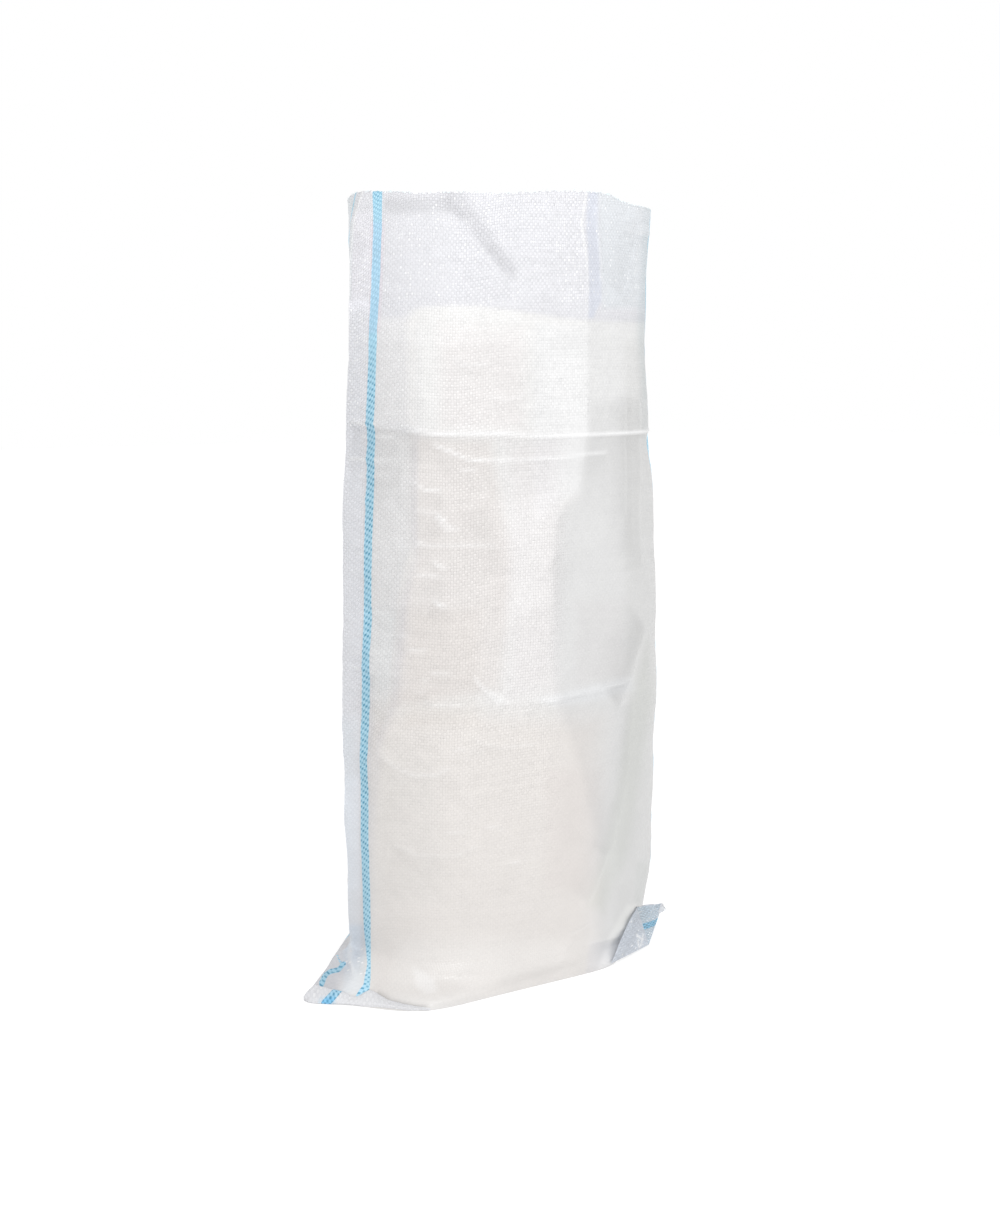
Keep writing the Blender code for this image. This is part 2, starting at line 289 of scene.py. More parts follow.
def spline_weights(count, places):
    """How much each control point of a clamped cubic B-spline counts at each place."""
    inner = count - 3
    knots = np.concatenate((np.zeros(3), np.linspace(0, 1, inner + 1), np.ones(3)))
    t = np.minimum(places, 1 - 1e-9)[:, None]
    weights = ((knots[:-1] <= t) & (t < knots[1:])).astype(float)
    for degree in (1, 2, 3):
        n = weights.shape[1] - 1
        rise = knots[degree:degree + n] - knots[:n]
        fall = knots[degree + 1:degree + 1 + n] - knots[1:1 + n]
        up = np.divide(t - knots[:n], rise, out=np.zeros((len(t), n)), where=rise > 0)
        down = np.divide(knots[degree + 1:degree + 1 + n] - t, fall,
                         out=np.zeros((len(t), n)), where=fall > 0)
        weights = up * weights[:, :-1] + down * weights[:, 1:]
    return weights


def lengths_along(points):
    """The length of a route up to each of its points."""
    return np.concatenate(([0], np.cumsum(np.linalg.norm(np.diff(points, axis=0), axis=1))))


def even_points(route, steps):
    """Points at even distances along a route, both ends among them."""
    route = np.array(route, float)
    lengths = lengths_along(route)
    if lengths[-1] == 0:
        return np.repeat(route[:1], steps + 1, 0)
    at = np.linspace(0, lengths[-1], steps + 1)
    return np.stack([np.interp(at, lengths, route[:, k]) for k in range(route.shape[1])], 1)


def curve(controls, samples):
    """Points along the spline of the given control points."""
    return spline_weights(len(controls), np.linspace(0, 1, samples)) @ np.array(controls)


def outline(station):
    """A station's closed outline, from the left fold along the front and back to it."""
    _, left, front, right, back = station
    sides = ((left, *front, right), FRONT_COLUMNS), ((right, *back, left), BACK_COLUMNS)
    front, back = [even_points(curve(np.array(points) / MILLIMETRES, CURVE_SAMPLES), columns)
                   for points, columns in sides]
    return np.concatenate((front[:-1], back))


def row_heights():
    low = np.arange(0, LOW_ROW_TOP, LOW_ROW_STEP)
    high = np.linspace(LOW_ROW_TOP, RIM_HEIGHT, round((RIM_HEIGHT - LOW_ROW_TOP) / ROW_STEP) + 1)
    return np.concatenate((low, high))


def between_stations(heights):
    """The outlines at the given heights, on smooth curves through the stations."""
    z = np.array([s[0] for s in STATIONS]) / MILLIMETRES
    p = np.array([outline(s) for s in STATIONS])
    slopes = np.empty_like(p)
    slopes[1:-1] = (p[2:] - p[:-2]) / (z[2:] - z[:-2])[:, None, None]
    slopes[0] = (p[1] - p[0]) / (z[1] - z[0])
    slopes[-1] = (p[-1] - p[-2]) / (z[-1] - z[-2])
    k = np.clip(np.searchsorted(z, heights, side="right") - 1, 0, len(z) - 2)
    span = (z[k + 1] - z[k])[:, None, None]
    t = ((heights - z[k]) / (z[k + 1] - z[k]))[:, None, None]
    return ((2 * t**3 - 3 * t**2 + 1) * p[k] + (t**3 - 2 * t**2 + t) * span * slopes[k]
            + (3 * t**2 - 2 * t**3) * p[k + 1] + (t**3 - t**2) * span * slopes[k + 1])


class Cloth:
    """The sack's wall as a grid of rows, from the floor to the rim, and columns round it."""

    def __init__(self):
        heights = row_heights()
        plan = between_stations(heights)
        z = np.repeat(heights[:, None], plan.shape[1], 1)
        near_rim = np.clip((z - RIM_HEIGHT + RIM_DROP_REACH) / RIM_DROP_REACH, 0, 1)
        z = z - near_rim * np.interp(plan[:, :, 0], *zip(*RIM_DROP))
        self.points = np.concatenate((plan, z[:, :, None]), 2)
        self.rows, self.columns = z.shape[0], z.shape[1] - 1
        self.measure()

    def measure(self):
        """Lengths along the cloth: s round from the left fold, v up from the floor row."""
        round_steps = np.linalg.norm(np.diff(self.points, axis=1), axis=2)
        self.s = np.concatenate((np.zeros((self.rows, 1)), np.cumsum(round_steps, 1)), 1)
        up_steps = np.linalg.norm(np.diff(self.points, axis=0), axis=2)
        self.v = np.concatenate((np.zeros((1, self.columns + 1)), np.cumsum(up_steps, 0)), 0)
        self.pixels = photo_pixels(self.points)
        self.z = self.points[:, :, 2]
        across = np.gradient(self.points, axis=1)
        across[:, 0] = across[:, -1] = (self.points[:, 1] - self.points[:, -2]) / 2
        upward = np.gradient(self.points, axis=0)
        normals = np.cross(across, upward)
        self.normals = normals / np.linalg.norm(normals, axis=2, keepdims=True)

    def place(self, pixel):
        """The fractional row and column of the front cloth that show at a pixel."""
        pixels = self.pixels[:, :FRONT_COLUMNS]
        gap = pixels - np.array(pixel, float)
        r, c = np.unravel_index(np.argmin((gap**2).sum(2)), gap.shape[:2])
        r = min(max(r, 1), self.rows - 2)
        c = min(max(c, 1), pixels.shape[1] - 2)
        per_column = (pixels[r, c + 1] - pixels[r, c - 1]) / 2
        per_row = (pixels[r + 1, c] - pixels[r - 1, c]) / 2
        step = np.linalg.lstsq(np.stack((per_column, per_row), 1), -gap[r, c], rcond=None)[0]
        step = np.clip(step, -1, 1)
        return r + step[1], c + step[0]

    @staticmethod
    def sample(grid, place):
        """A grid's value at a fractional row and column."""
        r = min(max(int(place[0]), 0), grid.shape[0] - 2)
        c = min(max(int(place[1]), 0), grid.shape[1] - 2)
        t, s = place[0] - r, place[1] - c
        return ((1 - t) * ((1 - s) * grid[r, c] + s * grid[r, c + 1])
                + t * ((1 - s) * grid[r + 1, c] + s * grid[r + 1, c + 1]))

    def route(self, pixels):
        """The (s, z) places of a route of pixels on the front cloth."""
        return np.array([[self.sample(grid, self.place(p)) for grid in (self.s, self.z)]
                         for p in np.reshape(pixels, (-1, 2))])

    def seen(self):
        """Which points the camera sees: those of the front, and of the back beside the folds."""
        eye = camera_axes()[0]
        facing = ((eye - self.points) * self.normals).sum(2) > 0
        near = np.ones(self.s.shape, bool)
        near[:, FRONT_COLUMNS + FOLD_COLUMNS:-FOLD_COLUMNS] = False
        near[self.z[:, 0] < FOLD_SEEN_ABOVE, FRONT_COLUMNS + FOLD_COLUMNS:] = False
        return facing & near


def smooth(value):
    """0 to 1 with level ends."""
    value = np.clip(value, 0, 1)
    return value * value * (3 - 2 * value)


def bell(distance, width):
    """1 on a line, and softly less on both sides of it."""
    return np.exp(-(distance / width) ** 2)


def to_route(s, z, route):
    """Signed distance to a route (left of its direction is positive), and how far along it
    the nearest point lies."""
    best = np.full(s.shape, np.inf)
    signed = np.zeros(s.shape)
    along = np.zeros(s.shape)
    done = 0.0
    for a, b in zip(route[:-1], route[1:]):
        step = b - a
        length = np.linalg.norm(step)
        t = np.clip(((s - a[0]) * step[0] + (z - a[1]) * step[1]) / length**2, 0, 1)
        ds, dz = s - a[0] - t * step[0], z - a[1] - t * step[1]
        distance = np.hypot(ds, dz)
        closer = distance < best
        side = np.where(step[0] * dz - step[1] * ds >= 0, 1.0, -1.0)
        best = np.where(closer, distance, best)
        signed = np.where(closer, side * distance, signed)
        along = np.where(closer, done + t * length, along)
        done += length
    return signed, along, done


def inside_polygon(pixels, corners, soft):
    """1 inside a polygon or box of pixels, 0 outside it, eased over the given width."""
    if len(corners) == 4:
        left, top, right, bottom = corners
        corners = (left, top, right, top, right, bottom, left, bottom)
    corners = np.reshape(corners, (-1, 2)).astype(float)
    x, y = pixels[:, :, 0], pixels[:, :, 1]
    best = np.full(x.shape, np.inf)
    odd = np.zeros(x.shape, bool)
    for a, b in zip(corners, np.roll(corners, -1, 0)):
        step = b - a
        t = np.clip(((x - a[0]) * step[0] + (y - a[1]) * step[1]) / (step @ step), 0, 1)
        best = np.minimum(best, np.hypot(x - a[0] - t * step[0], y - a[1] - t * step[1]))
        crosses = (a[1] > y) != (b[1] > y)
        level = np.where(step[1] == 0, 1, step[1])
        odd ^= crosses & (x < a[0] + (y - a[1]) * step[0] / level)
    return smooth(0.5 + np.where(odd, best, -best) / soft)


def faded_ends(along, length, fade):
    return smooth(along / fade) * smooth((length - along) / fade)


def waves(rng, s, z, shortest, longest, count):
    """Seeded soft undulation, even where the tube closes."""
    total = np.zeros(s.shape)
    for _ in range(count):
        turns = rng.integers(1, int(1 / shortest))
        tall = rng.uniform(1 / longest, 1 / shortest) * rng.choice((-1, 1))
        phase = rng.uniform(0, 2 * math.pi)
        total += np.cos(2 * math.pi * (turns * s + tall * z) + phase)
    return total / math.sqrt(count)


# Features of the cloth, placed by the photograph's pixels

# The front left stripe: each place with half of the stripe's width there
STRIPE_FRONT_LEFT = ((376.8, 189, 4.9), (377.3, 205, 4.7), (377.9, 230, 4.2), (376.6, 260, 4.2),
                     (374.7, 300, 4.1), (373.3, 328, 4.0), (369.4, 430, 4.0), (368.3, 540, 3.9),
                     (367.2, 600, 3.8), (363.8, 760, 3.7), (365.2, 850, 3.8), (365.7, 880, 3.8),
                     (367.2, 928, 3.3), (368.6, 953, 2.2), (369.0, 965, 1.8), (367.6, 978, 3.0),
                     (366.5, 986, 3.2), (362.0, 991, 2.8), (357.5, 996, 2.6))
# The back left stripe where it crosses the left ear, and its thin upper end there
STRIPE_ON_EAR = ((343.5, 963, 2.2), (338, 969, 2.4), (330, 970.5, 2.3), (325, 974, 2.5),
                 (321, 982, 2.6))
STRIPE_EAR_THREAD = ((336, 951, 1.0), (338, 958, 1.0), (341.5, 964, 1.2))
# How far the back left stripe lies from the left fold, how wide each stripe is, and how far
# apart the two right stripes lie
STRIPE_BACK_DISTANCE = 0.030
STRIPE_CLOTH_WIDTH = 0.0116
STRIPES_APART_RIGHT = 0.054
# How much nearer the left fold the back left stripe comes, by height, and what share of its
# width stays in view near the mouth
STRIPE_BACK_DRAW = ((0.020, -0.030), (0.055, -0.008), (0.090, 0.0), (0.690, 0.0), (0.776, 0.013))
STRIPE_BACK_SHARE = ((0.700, 1.0), (0.740, 0.45))
# The right silhouette: the lowest height at which it is the body's, the height that stands in
# for it further down, how far inside it the stripe is placed, and the rows it is evened over
SILHOUETTE_LOWEST, SILHOUETTE_FOOT = 0.05, 0.052
SILHOUETTE_INSET = 0.0005
SILHOUETTE_ROWS = 21
# The left ear has its own stripes: below this height, with its ease, and left of this place
EAR_STRIPES_BELOW, EAR_STRIPES_EASE, EAR_STRIPES_LEFT_OF = 0.055, 0.01, -0.10
# How far behind the right silhouette the front right stripe's middle lies, by height
RIGHT_STRIPE_SHIFT = ((0.05, 0.003), (0.16, 0.003), (0.20, 0.000), (0.26, 0.000), (0.30, 0.006),
                      (0.36, 0.012), (0.53, 0.012), (0.62, 0.001), (0.67, -0.004), (0.76, -0.003))

# Where the powder shows through the cloth: its top edge, and its left edge
FILL_EDGE = ((400, 312), (413, 309), (425, 307), (450, 305.5), (480, 306), (520, 311), (550, 316),
             (581, 320), (606, 321), (640, 323))
FILL_LEFT = ((410, 309), (413, 340), (413.5, 400), (414, 430), (416, 455), (416, 545), (411, 560),
             (405, 600), (395, 700), (378, 745), (373, 800), (370, 860), (369, 930))
FILL_LEFT_SHARP = ((416, 430), (416, 560))
# How soft the fill's edges look: on top, on the left, how much sharper between those two
# pixels, with its ease, and behind the left fold, where it starts at a share of the distance
FILL_TOP_SOFT, FILL_SOFT, FILL_SHARPER, FILL_SHARP_EASE = 0.006, 0.022, 0.012, 0.02
FILL_BEHIND_SHARE, FILL_BEHIND_SOFT = 0.8, 0.05

# Creases: route as x, y, x, y and so on, height of the ridge, depth of the shelf below it, both
# in metres, how far it whitens the tapes, partly pressed white and partly a painted highlight,
# and how far the shelf is painted darker, as painted shade
CREASES = (
    ((347, 421, 360, 423, 375, 424.5, 397, 427, 417, 431.5, 437, 434, 462, 435, 500, 434, 560,
     436, 600, 434, 648, 430), 0.001, 0.0026, 0.95, 0.045),
    ((345, 459, 363, 459, 375, 461, 404, 462), 0.0007, 0.0012, 0.75, 0.03),
    ((430, 443, 440, 447.5, 452, 452, 467, 459, 485, 461, 520, 461, 565, 457, 612, 451), 0.0007,
     0.0013, 0.6, 0.03),
    ((348, 545, 390, 546, 450, 545, 520, 547), 0.0003, 0.0004, 0.28, 0.01),
    ((471, 674, 482, 688, 495, 698, 512, 703), 0.001, 0.001, 0.5, 0.02),
    ((379, 753, 395, 767, 415, 776, 435, 775, 453, 767), 0.0004, 0.0012, 0.25, 0.02),
    ((486, 500, 497, 530, 506, 553, 515, 575), -0.0006, 0.001, 0, 0.035),
    ((526, 702, 555, 700, 581, 693, 607, 688, 634, 678), 0.0014, 0.0016, 0.22, 0.035),
    ((647, 626, 638, 655, 632, 677, 627, 693, 618, 712), -0.0016, 0.0014, 0, 0.14),
    ((634, 700, 629, 763, 623, 800, 610, 860), -0.001, 0.0012, 0, 0.07),
    ((612, 847, 600, 880, 588, 908), -0.0008, 0.001, 0.1, 0.05),
    ((569, 935, 580, 930, 591, 922), -0.0007, 0.0006, 0.1, 0.03),
    ((586, 944, 604, 940, 624, 935), 0.0003, 0.0004, 0.12, 0.01),
    ((352, 930, 349.5, 945, 350, 958, 353, 971, 357, 976), 0.0016, 0.0012, 0.65, 0.04),
    ((641, 395, 642, 450, 641, 520, 643, 570), 0.0007, 0.0006, 0.1, 0.06),
    ((633, 390, 634, 440, 633, 500, 634, 560), -0.0006, 0.0006, 0, 0.05),
    ((627, 400, 628, 450, 627, 520), 0.0005, 0.0005, 0.1, 0.03),
    ((597, 198, 600, 240, 602, 290), 0.0008, 0.0008, 0.25, 0.02),
    ((640, 215, 636, 245, 628, 275, 622, 300), -0.001, 0.001, 0, 0.05),
    ((625, 224, 632, 232, 640, 236), 0.0007, 0.0006, 0.25, 0.02),
    ((470, 740, 500, 748, 540, 744), 0.0004, 0.0007, 0.15, 0.02),
    ((388, 842, 420, 856, 455, 856, 480, 846), 0.0004, 0.0007, 0.15, 0.02),
    ((556, 548, 572, 565, 582, 590), -0.0006, 0.0008, 0, 0.03),
    ((405, 478, 425, 490, 446, 492), 0.0007, 0.0008, 0.5, 0.03),
    ((432, 511, 441, 519, 451, 524), 0.0008, 0.0008, 0.75, 0.03),
    ((430, 560, 440, 567, 450, 569), 0.0008, 0.0008, 0.65, 0.03),
    ((430, 599, 441, 606, 451, 607), 0.0008, 0.0008, 0.75, 0.03),
    ((420, 700, 436, 706, 452, 702), 0.0004, 0.0005, 0.25, 0.015),
    ((486, 395, 505, 400, 525, 396), 0.0004, 0.0005, 0.3, 0.01),
    ((450, 360, 470, 366, 492, 362), 0.0004, 0.0005, 0.3, 0.01),
    ((352, 225, 362, 235, 371, 238), 0.0005, 0.0008, 0.2, 0.05),
    ((350, 262, 360, 270, 371, 268), 0.0005, 0.0008, 0.2, 0.04),
)
# Creases of the back cloth: route as the share of the way round and the height, by turns, then
# ridge, shelf and whitening, partly pressed white and partly a painted highlight
BACK_CREASES = (
    ((0.5, 0.56, 0.56, 0.548, 0.64, 0.541, 0.735, 0.545, 0.8, 0.552), 0.0016, 0.0026, 0.55),
    ((0.59, 0.512, 0.65, 0.5, 0.72, 0.497, 0.79, 0.506), 0.001, 0.0018, 0.35),
    ((0.52, 0.405, 0.58, 0.398, 0.65, 0.402), 0.0009, 0.0016, 0.3),
    ((0.66, 0.372, 0.74, 0.36, 0.83, 0.366), 0.0011, 0.0018, 0.35),
    ((0.54, 0.262, 0.6, 0.25, 0.69, 0.246, 0.76, 0.254), 0.0012, 0.002, 0.35),
    ((0.72, 0.182, 0.79, 0.17, 0.86, 0.176), 0.0009, 0.0015, 0.25),
    ((0.56, 0.118, 0.64, 0.102, 0.7, 0.104), 0.001, 0.0016, 0.25),
    ((0.61, 0.64, 0.625, 0.58, 0.632, 0.52, 0.628, 0.44), -0.001, 0.0012, 0),
    ((0.76, 0.5, 0.752, 0.42, 0.76, 0.34, 0.775, 0.27), -0.001, 0.0012, 0),
    ((0.66, 0.776, 0.675, 0.735, 0.69, 0.69), -0.002, 0.001, 0),
    ((0.8, 0.776, 0.79, 0.742, 0.785, 0.712), 0.0014, 0.001, 0.25),
)
# Their ridges' width, how their ends fade, and how far their shelves are painted darker as painted
# shade
BACK_CREASE_WIDTH, BACK_CREASE_FADE, BACK_CREASE_SHADE = 0.0026, 0.03, 0.04
# Dents of the back: their depth, the shares of the way round between which they lie and the
# height from which they are full, each with its ease, and their waves
BACK_DENT = 0.0024
BACK_DENT_FROM, BACK_DENT_TO = (0.53, 0.10), (0.93, 0.08)
BACK_DENT_FOOT = 0.15
BACK_DENT_WAVES = (0.11, 0.45, 9)
# Slack of the whole cloth above its foot: size, shortest and longest wave, and how many
SLACK_FROM, SLACK_EASE = 0.02, 0.10
SLACK_WAVES = ((0.0006, 0.08, 0.35, 14), (0.00022, 0.02, 0.08, 24))
# The uneven cut of the rim: how far down it starts and eases, and how deep it goes
RIM_CUT_FROM, RIM_CUT_EASE, RIM_CUT_DEPTH = 0.004, 0.003, 0.0016
# Fine wrinkles: the box of pixels in which they start, how many, their lengths in pixels, and
# how far they are painted white, as painted highlights
FINE_WRINKLES = (
    ((346, 372, 436, 700), 16, (18, 48), (0.25, 0.60)),
    ((380, 470, 440, 700), 14, (14, 34), (0.15, 0.40)),
    ((400, 540, 325, 425), 7, (14, 40), (0.15, 0.35)),
    ((430, 520, 700, 900), 6, (14, 34), (0.10, 0.25)),
)
# A wrinkle's sag and the fall to its right end, in pixels, then its ridge and shelf, and how
# far the shelf is painted darker, as painted shade
WRINKLE_SAG, WRINKLE_FALL = (-1.5, 1.5), (0.0, 3.0)
WRINKLE_RIDGE, WRINKLE_SHELF, WRINKLE_SHADE = 0.0004, 0.0004, 0.015
# The valley under the mouth: its width and how fast that narrows, how its end fades, its
# depth, and how far it is painted darker, as painted shade
VALLEY = ((448, 193), (453, 199), (462, 210), (475, 222), (490, 245), (505, 262), (522, 280))
VALLEY_WIDTH, VALLEY_NARROWING, VALLEY_END = 0.0085, 0.03, 0.015
VALLEY_DEPTH, VALLEY_SHADE = 0.0050, 0.13
# The long ridge left of the right face: its reach, how steep it is, its height, and how its
# ends run on and fade
RIDGE = ((584.5, 190), (584, 260), (584, 340), (584, 440), (580, 480), (566, 500), (553, 522),
         (551, 600), (546, 690))
RIDGE_REACH, RIDGE_STEEPNESS, RIDGE_HEIGHT = 0.030, 1.4, 0.0040
RIDGE_RUN_ON, RIDGE_FADE = 0.05, 0.06
# Its white line, partly pressed white and partly a painted highlight: the height where it
# starts and the one where it grows, each with its ease, what it has between them, and its width
RIDGE_WHITE_FROM, RIDGE_WHITER_FROM = (0.52, 0.06), (0.69, 0.03)
RIDGE_WHITE_BETWEEN, RIDGE_WHITE_WIDTH = 0.25, 0.0013
# The left fold is painted white above this height, where the sack is hollow: partly pressed
# white and partly a painted highlight
FOLD_WHITE_FROM, FOLD_WHITE, FOLD_WHITE_WIDTH = (0.60, 0.06), 0.9, 0.0014
# Above the hem the front cloth stands back from it: how far up, how its ends fade, and how
# deep. Right of this corner of the hem's top the gap is painted darker too, as painted shade.
HEM_GAP_WIDTH, HEM_GAP_FADE, HEM_GAP_DEPTH = 0.0030, 0.015, 0.0028
HEM_SHADE_CORNER, HEM_SHADE_WIDTH, HEM_SHADE = 9, 0.0018, 0.30
# The hem's upper and lower edges, from the left ear's tip to where the front stands on it
HEM_TOP = ((303, 993), (309, 988), (315, 985), (330, 989), (343, 992), (352, 996.5), (358, 996.5),
           (364, 992.5), (370, 989.5), (376, 992.5), (388, 1000), (405, 1004.5), (430, 1008.5))
HEM_BOTTOM = ((302, 995), (304.5, 1000), (309, 1003), (322, 1004), (338, 1005), (348, 1005.5),
              (354, 1006), (362, 1006.5), (372, 1007), (382, 1007.5), (395, 1009), (410, 1010.5),
              (430, 1010.5))
HEM_STRIPE = ((341, 989, 3.9), (329, 1001, 3.9), (325, 1005, 3.9))
HEM_DARK_BLUE = (321, 999, 335, 998, 337, 1007, 316, 1007)
HEM_DARK_BLUE_SOFT, HEM_DARK_BLUE_LOSS = 3, (0.42, 0.16, 0.02)

# Tints of the cloth, partly its own colour where the powder shows through or the cloth is hollow,
# and partly painted shade and painted light: a polygon as x, y, x, y and so on, or a box as
# left, top, right and bottom, then the width of its soft edge, and what it multiplies
TINTS_AND_PAINTED_SHADING = (
    # Painted shade right of the ridge, where the cloth turns from the light
    ((586, 186, 597, 186, 601, 300, 592, 318, 586, 318), 5, (0.9, 0.93, 0.985)),
    ((598, 186, 655, 200, 655, 308, 602, 308), 8, (0.955, 0.985, 0.985)),
    # Painted shade on the back cloth beside the left fold, up at the mouth
    ((340, 190, 356, 200, 353, 215, 352.5, 240, 350.5, 300, 340, 300), 1.5, (0.9, 0.94, 0.93)),
    ((384, 197, 452, 197, 462, 212, 384, 214), 8, 0.88),
    # Painted light on the high fin left of the stripe
    ((340, 212, 372, 212, 370, 310, 340, 310), 8, (1.1, 1.09, 1.1)),
    # The flank left of the stripe, and its lower stretch: lighter, partly the hollow cloth's own
    # paler colour and partly painted light
    ((335, 300, 369, 300, 365, 430, 362, 600, 359, 760, 361, 950, 335, 950), 5,
     (1.09, 1.095, 1.1)),
    ((335, 720, 360, 720, 362, 960, 335, 960), 30, (1.04, 1.07, 1.08)),
    ((340, 775, 360, 775, 361, 890, 340, 890), 8, (1.035, 1.045, 1.055)),
    # Right of the stripe, where the cloth stands off the powder
    ((375, 425, 413, 433, 413, 556, 401, 605, 392, 700, 375, 742, 372, 800, 371, 600), 8,
     (1.075, 1.065, 1.03)),
    # Painted shade between the two level creases beside the left fold, on the shelf below the upper
    # one
    ((340, 424, 375, 427.5, 416, 434.5, 430, 437, 430, 462, 404, 462.5, 375, 461, 340, 459.5),
     2.5, 0.955),
    ((378, 318, 415, 318, 415, 428, 374, 424), 12, (1.1, 1.09, 1.06)),
    ((371, 222, 385, 222, 380, 332, 369, 332), 2, (1, 0.95, 0.975)),
    # Painted light on the band left of the ridge
    ((535, 320, 586, 325, 586, 430, 580, 490, 552, 505, 535, 520), 14, (1.03, 1.035, 1.045)),
    ((440, 325, 524, 330, 524, 430, 440, 430), 22, (0.975, 0.955, 0.955)),
    ((413, 436, 492, 440, 512, 560, 500, 690, 392, 705, 402, 600, 413, 556), 18,
     (0.935, 0.905, 0.892)),
    ((508, 440, 560, 440, 556, 690, 508, 700), 30, (0.975, 0.958, 0.962)),
    ((365, 700, 600, 720, 592, 1010, 365, 1010), 44, (0.965, 0.93, 0.905)),
    ((400, 940, 580, 940, 580, 1010, 380, 1010), 30, (1.04, 1.05, 1.055)),
    ((376, 740, 440, 760, 440, 900, 368, 900), 30, (0.975, 0.98, 0.98)),
    ((410, 610, 480, 610, 480, 725, 405, 725), 20, (0.972, 0.962, 0.952)),
    ((371, 610, 394, 610, 388, 725, 371, 725), 6, (1.03, 1.04, 1.04)),
    ((575, 600, 625, 600, 625, 678, 575, 684), 16, (0.97, 0.962, 0.962)),
    ((545, 770, 604, 770, 596, 890, 545, 890), 18, (0.978, 0.97, 0.97)),
    # Painted light beside the right ear's fold, lifting the shade there
    ((637.3, 905, 626, 927, 611, 966, 598, 970, 612, 930, 628, 905), 7, (1.13, 1.13, 1.12)),
    # Painted shade on the right face, which turns from the light, with a lighter box on it
    ((586, 318, 660, 318, 660, 960, 596, 960, 600, 850, 578, 760, 556, 690, 550, 640, 552, 545,
     556, 512, 580, 497, 586, 440), 14, (0.915, 0.92, 0.925)),
    ((588, 322, 640, 400), 16, 1.07),
    ((535, 330, 584, 334, 584, 425, 535, 425), 16, 0.965),
    # Painted shade along the right edge
    ((624, 340, 665, 340, 665, 930, 612, 930, 628, 700), 12, (0.94, 0.94, 0.935)),
    # A painted shadow in a diagonal band down the lower right
    ((648, 640, 634, 690, 622, 760, 606, 850, 588, 905, 604, 912, 628, 850, 640, 780, 652, 700),
     14, (0.92, 0.93, 0.91)),
    # A painted highlight on the broad fold across the right face
    ((535, 700, 576, 690, 632, 676, 634, 690, 600, 700, 556, 707), 8, (1.035, 1.045, 1.06)),
    # Painted shade in the fold above the right ear, and beside its foot
    ((637, 862, 652, 862, 646, 897, 637.3, 907, 634.5, 897), 4, (0.95, 0.96, 0.955)),
    ((590, 942, 619, 941, 611, 966, 586, 974), 6, (0.955, 0.96, 0.985)),
    # A soft shade beside the right silhouette, under the mouth
    ((645, 205, 655, 205, 652, 440, 643, 440, 637, 330, 641, 262), 9, (0.925, 0.945, 0.95)),
    ((644, 235, 652, 235, 650, 400, 643.5, 400, 639.5, 322), 7, (0.925, 0.95, 0.955)),
    # The ear's front, and the foot beside it
    ((345, 925, 366, 925, 364, 992, 343, 992), 8, (0.9, 0.95, 1)),
    ((345, 948, 338, 951, 318, 985, 343, 992), 6, (0.95, 0.945, 0.95)),
)
# How clearly the tapes show at each height, and where they show less or more: a polygon or
# box, the width of its soft edge, and what it multiplies
TAPES_SHOW = ((0.06, 0.30), (0.16, 0.50), (0.26, 0.80), (0.65, 0.80), (0.68, 1.0))
SMOOTHER = (
    ((570, 425, 655, 425, 655, 970, 600, 970, 556, 930, 556, 690), 26, 0.42),
    ((345, 730, 362, 930), 8, 0.75),
    ((588, 200, 655, 205, 655, 425, 588, 425), 10, 0.75),
    ((388, 203, 452, 203, 456, 300, 390, 300), 14, 0.65),
    ((345, 305, 370, 305, 367, 430, 345, 430), 6, 1.35),
)
# Places with white specks, painted glints where the tapes catch the light, and the specks above
# the fill: how many, and the height from which they show, with its ease
HIGH_SPECKS, HIGH_SPECKS_FROM = 0.12, (0.655, 0.02)
SPECKLES = (
    ((392, 210, 450, 212, 452, 302, 396, 302), 14, 0.28),
    ((348, 305, 368, 305, 366, 428, 348, 428), 6, 0.7),
    ((556, 193, 584, 300), 8, 0.55),
    ((350, 212, 372, 300), 8, 0.35),
    ((376, 330, 400, 330, 400, 425, 374, 425), 8, 0.35),
    ((345, 935, 365, 935, 363, 985, 345, 985), 8, 0.45),
)
# Painted highlights, small places painted white where they shine: polygon or box, soft edge,
# share of white
GLINTS = (
    ((413, 968, 424, 972, 434, 980, 436, 992, 426, 994, 416, 986), 8, 0.38),
    ((336, 976, 350, 970, 364, 976, 366, 988, 352, 993, 338, 989), 7, 0.35),
    ((432, 518, 446, 522, 460, 530, 446, 532), 5, 0.35),
    ((486, 690, 500, 697, 514, 703, 498, 706), 5, 0.35),
    ((540, 350, 580, 352, 580, 425, 545, 420), 24, 0.22),
    ((404, 328, 560, 330, 560, 345, 404, 345), 14, 0.18),
    ((500, 505, 548, 500, 544, 600, 510, 620), 24, 0.15),
)
# What counts as far outside every stripe
FAR = 0.02


def fine_wrinkles(rng):
    """Short level wrinkles as creases with painted highlights: many beside the left fold."""
    wrinkles = []
    for (left, right, top, bottom), count, lengths, white in FINE_WRINKLES:
        for _ in range(count):
            x, y = rng.uniform(left, right), rng.uniform(top, bottom)
            reach = rng.uniform(*lengths)
            sag, fall = rng.uniform(*WRINKLE_SAG), rng.uniform(*WRINKLE_FALL)
            route = (x, y, x + reach / 2, y + fall / 2 + sag, x + reach, y + fall)
            wrinkles.append((route, WRINKLE_RIDGE, WRINKLE_SHELF, rng.uniform(*white),
                             WRINKLE_SHADE))
    return wrinkles


def above(height, start, ease):
    """0 below the start, 1 above it, with an ease between them."""
    return smooth((height - start) / ease)


def all_creases(cloth, rng):
    """The creases of front and back, each with the width of its ridge and the fade of its
    ends."""
    for route, *values in (*CREASES, *fine_wrinkles(rng)):
        yield cloth.route(route), *values, CREASE_WIDTH, CREASE_FADE
    way_round = cloth.s[:, -1].mean()
    for route, *values in BACK_CREASES:
        yield (np.reshape(route, (-1, 2)) * (way_round, 1), *values, BACK_CREASE_SHADE,
               BACK_CREASE_WIDTH, BACK_CREASE_FADE)


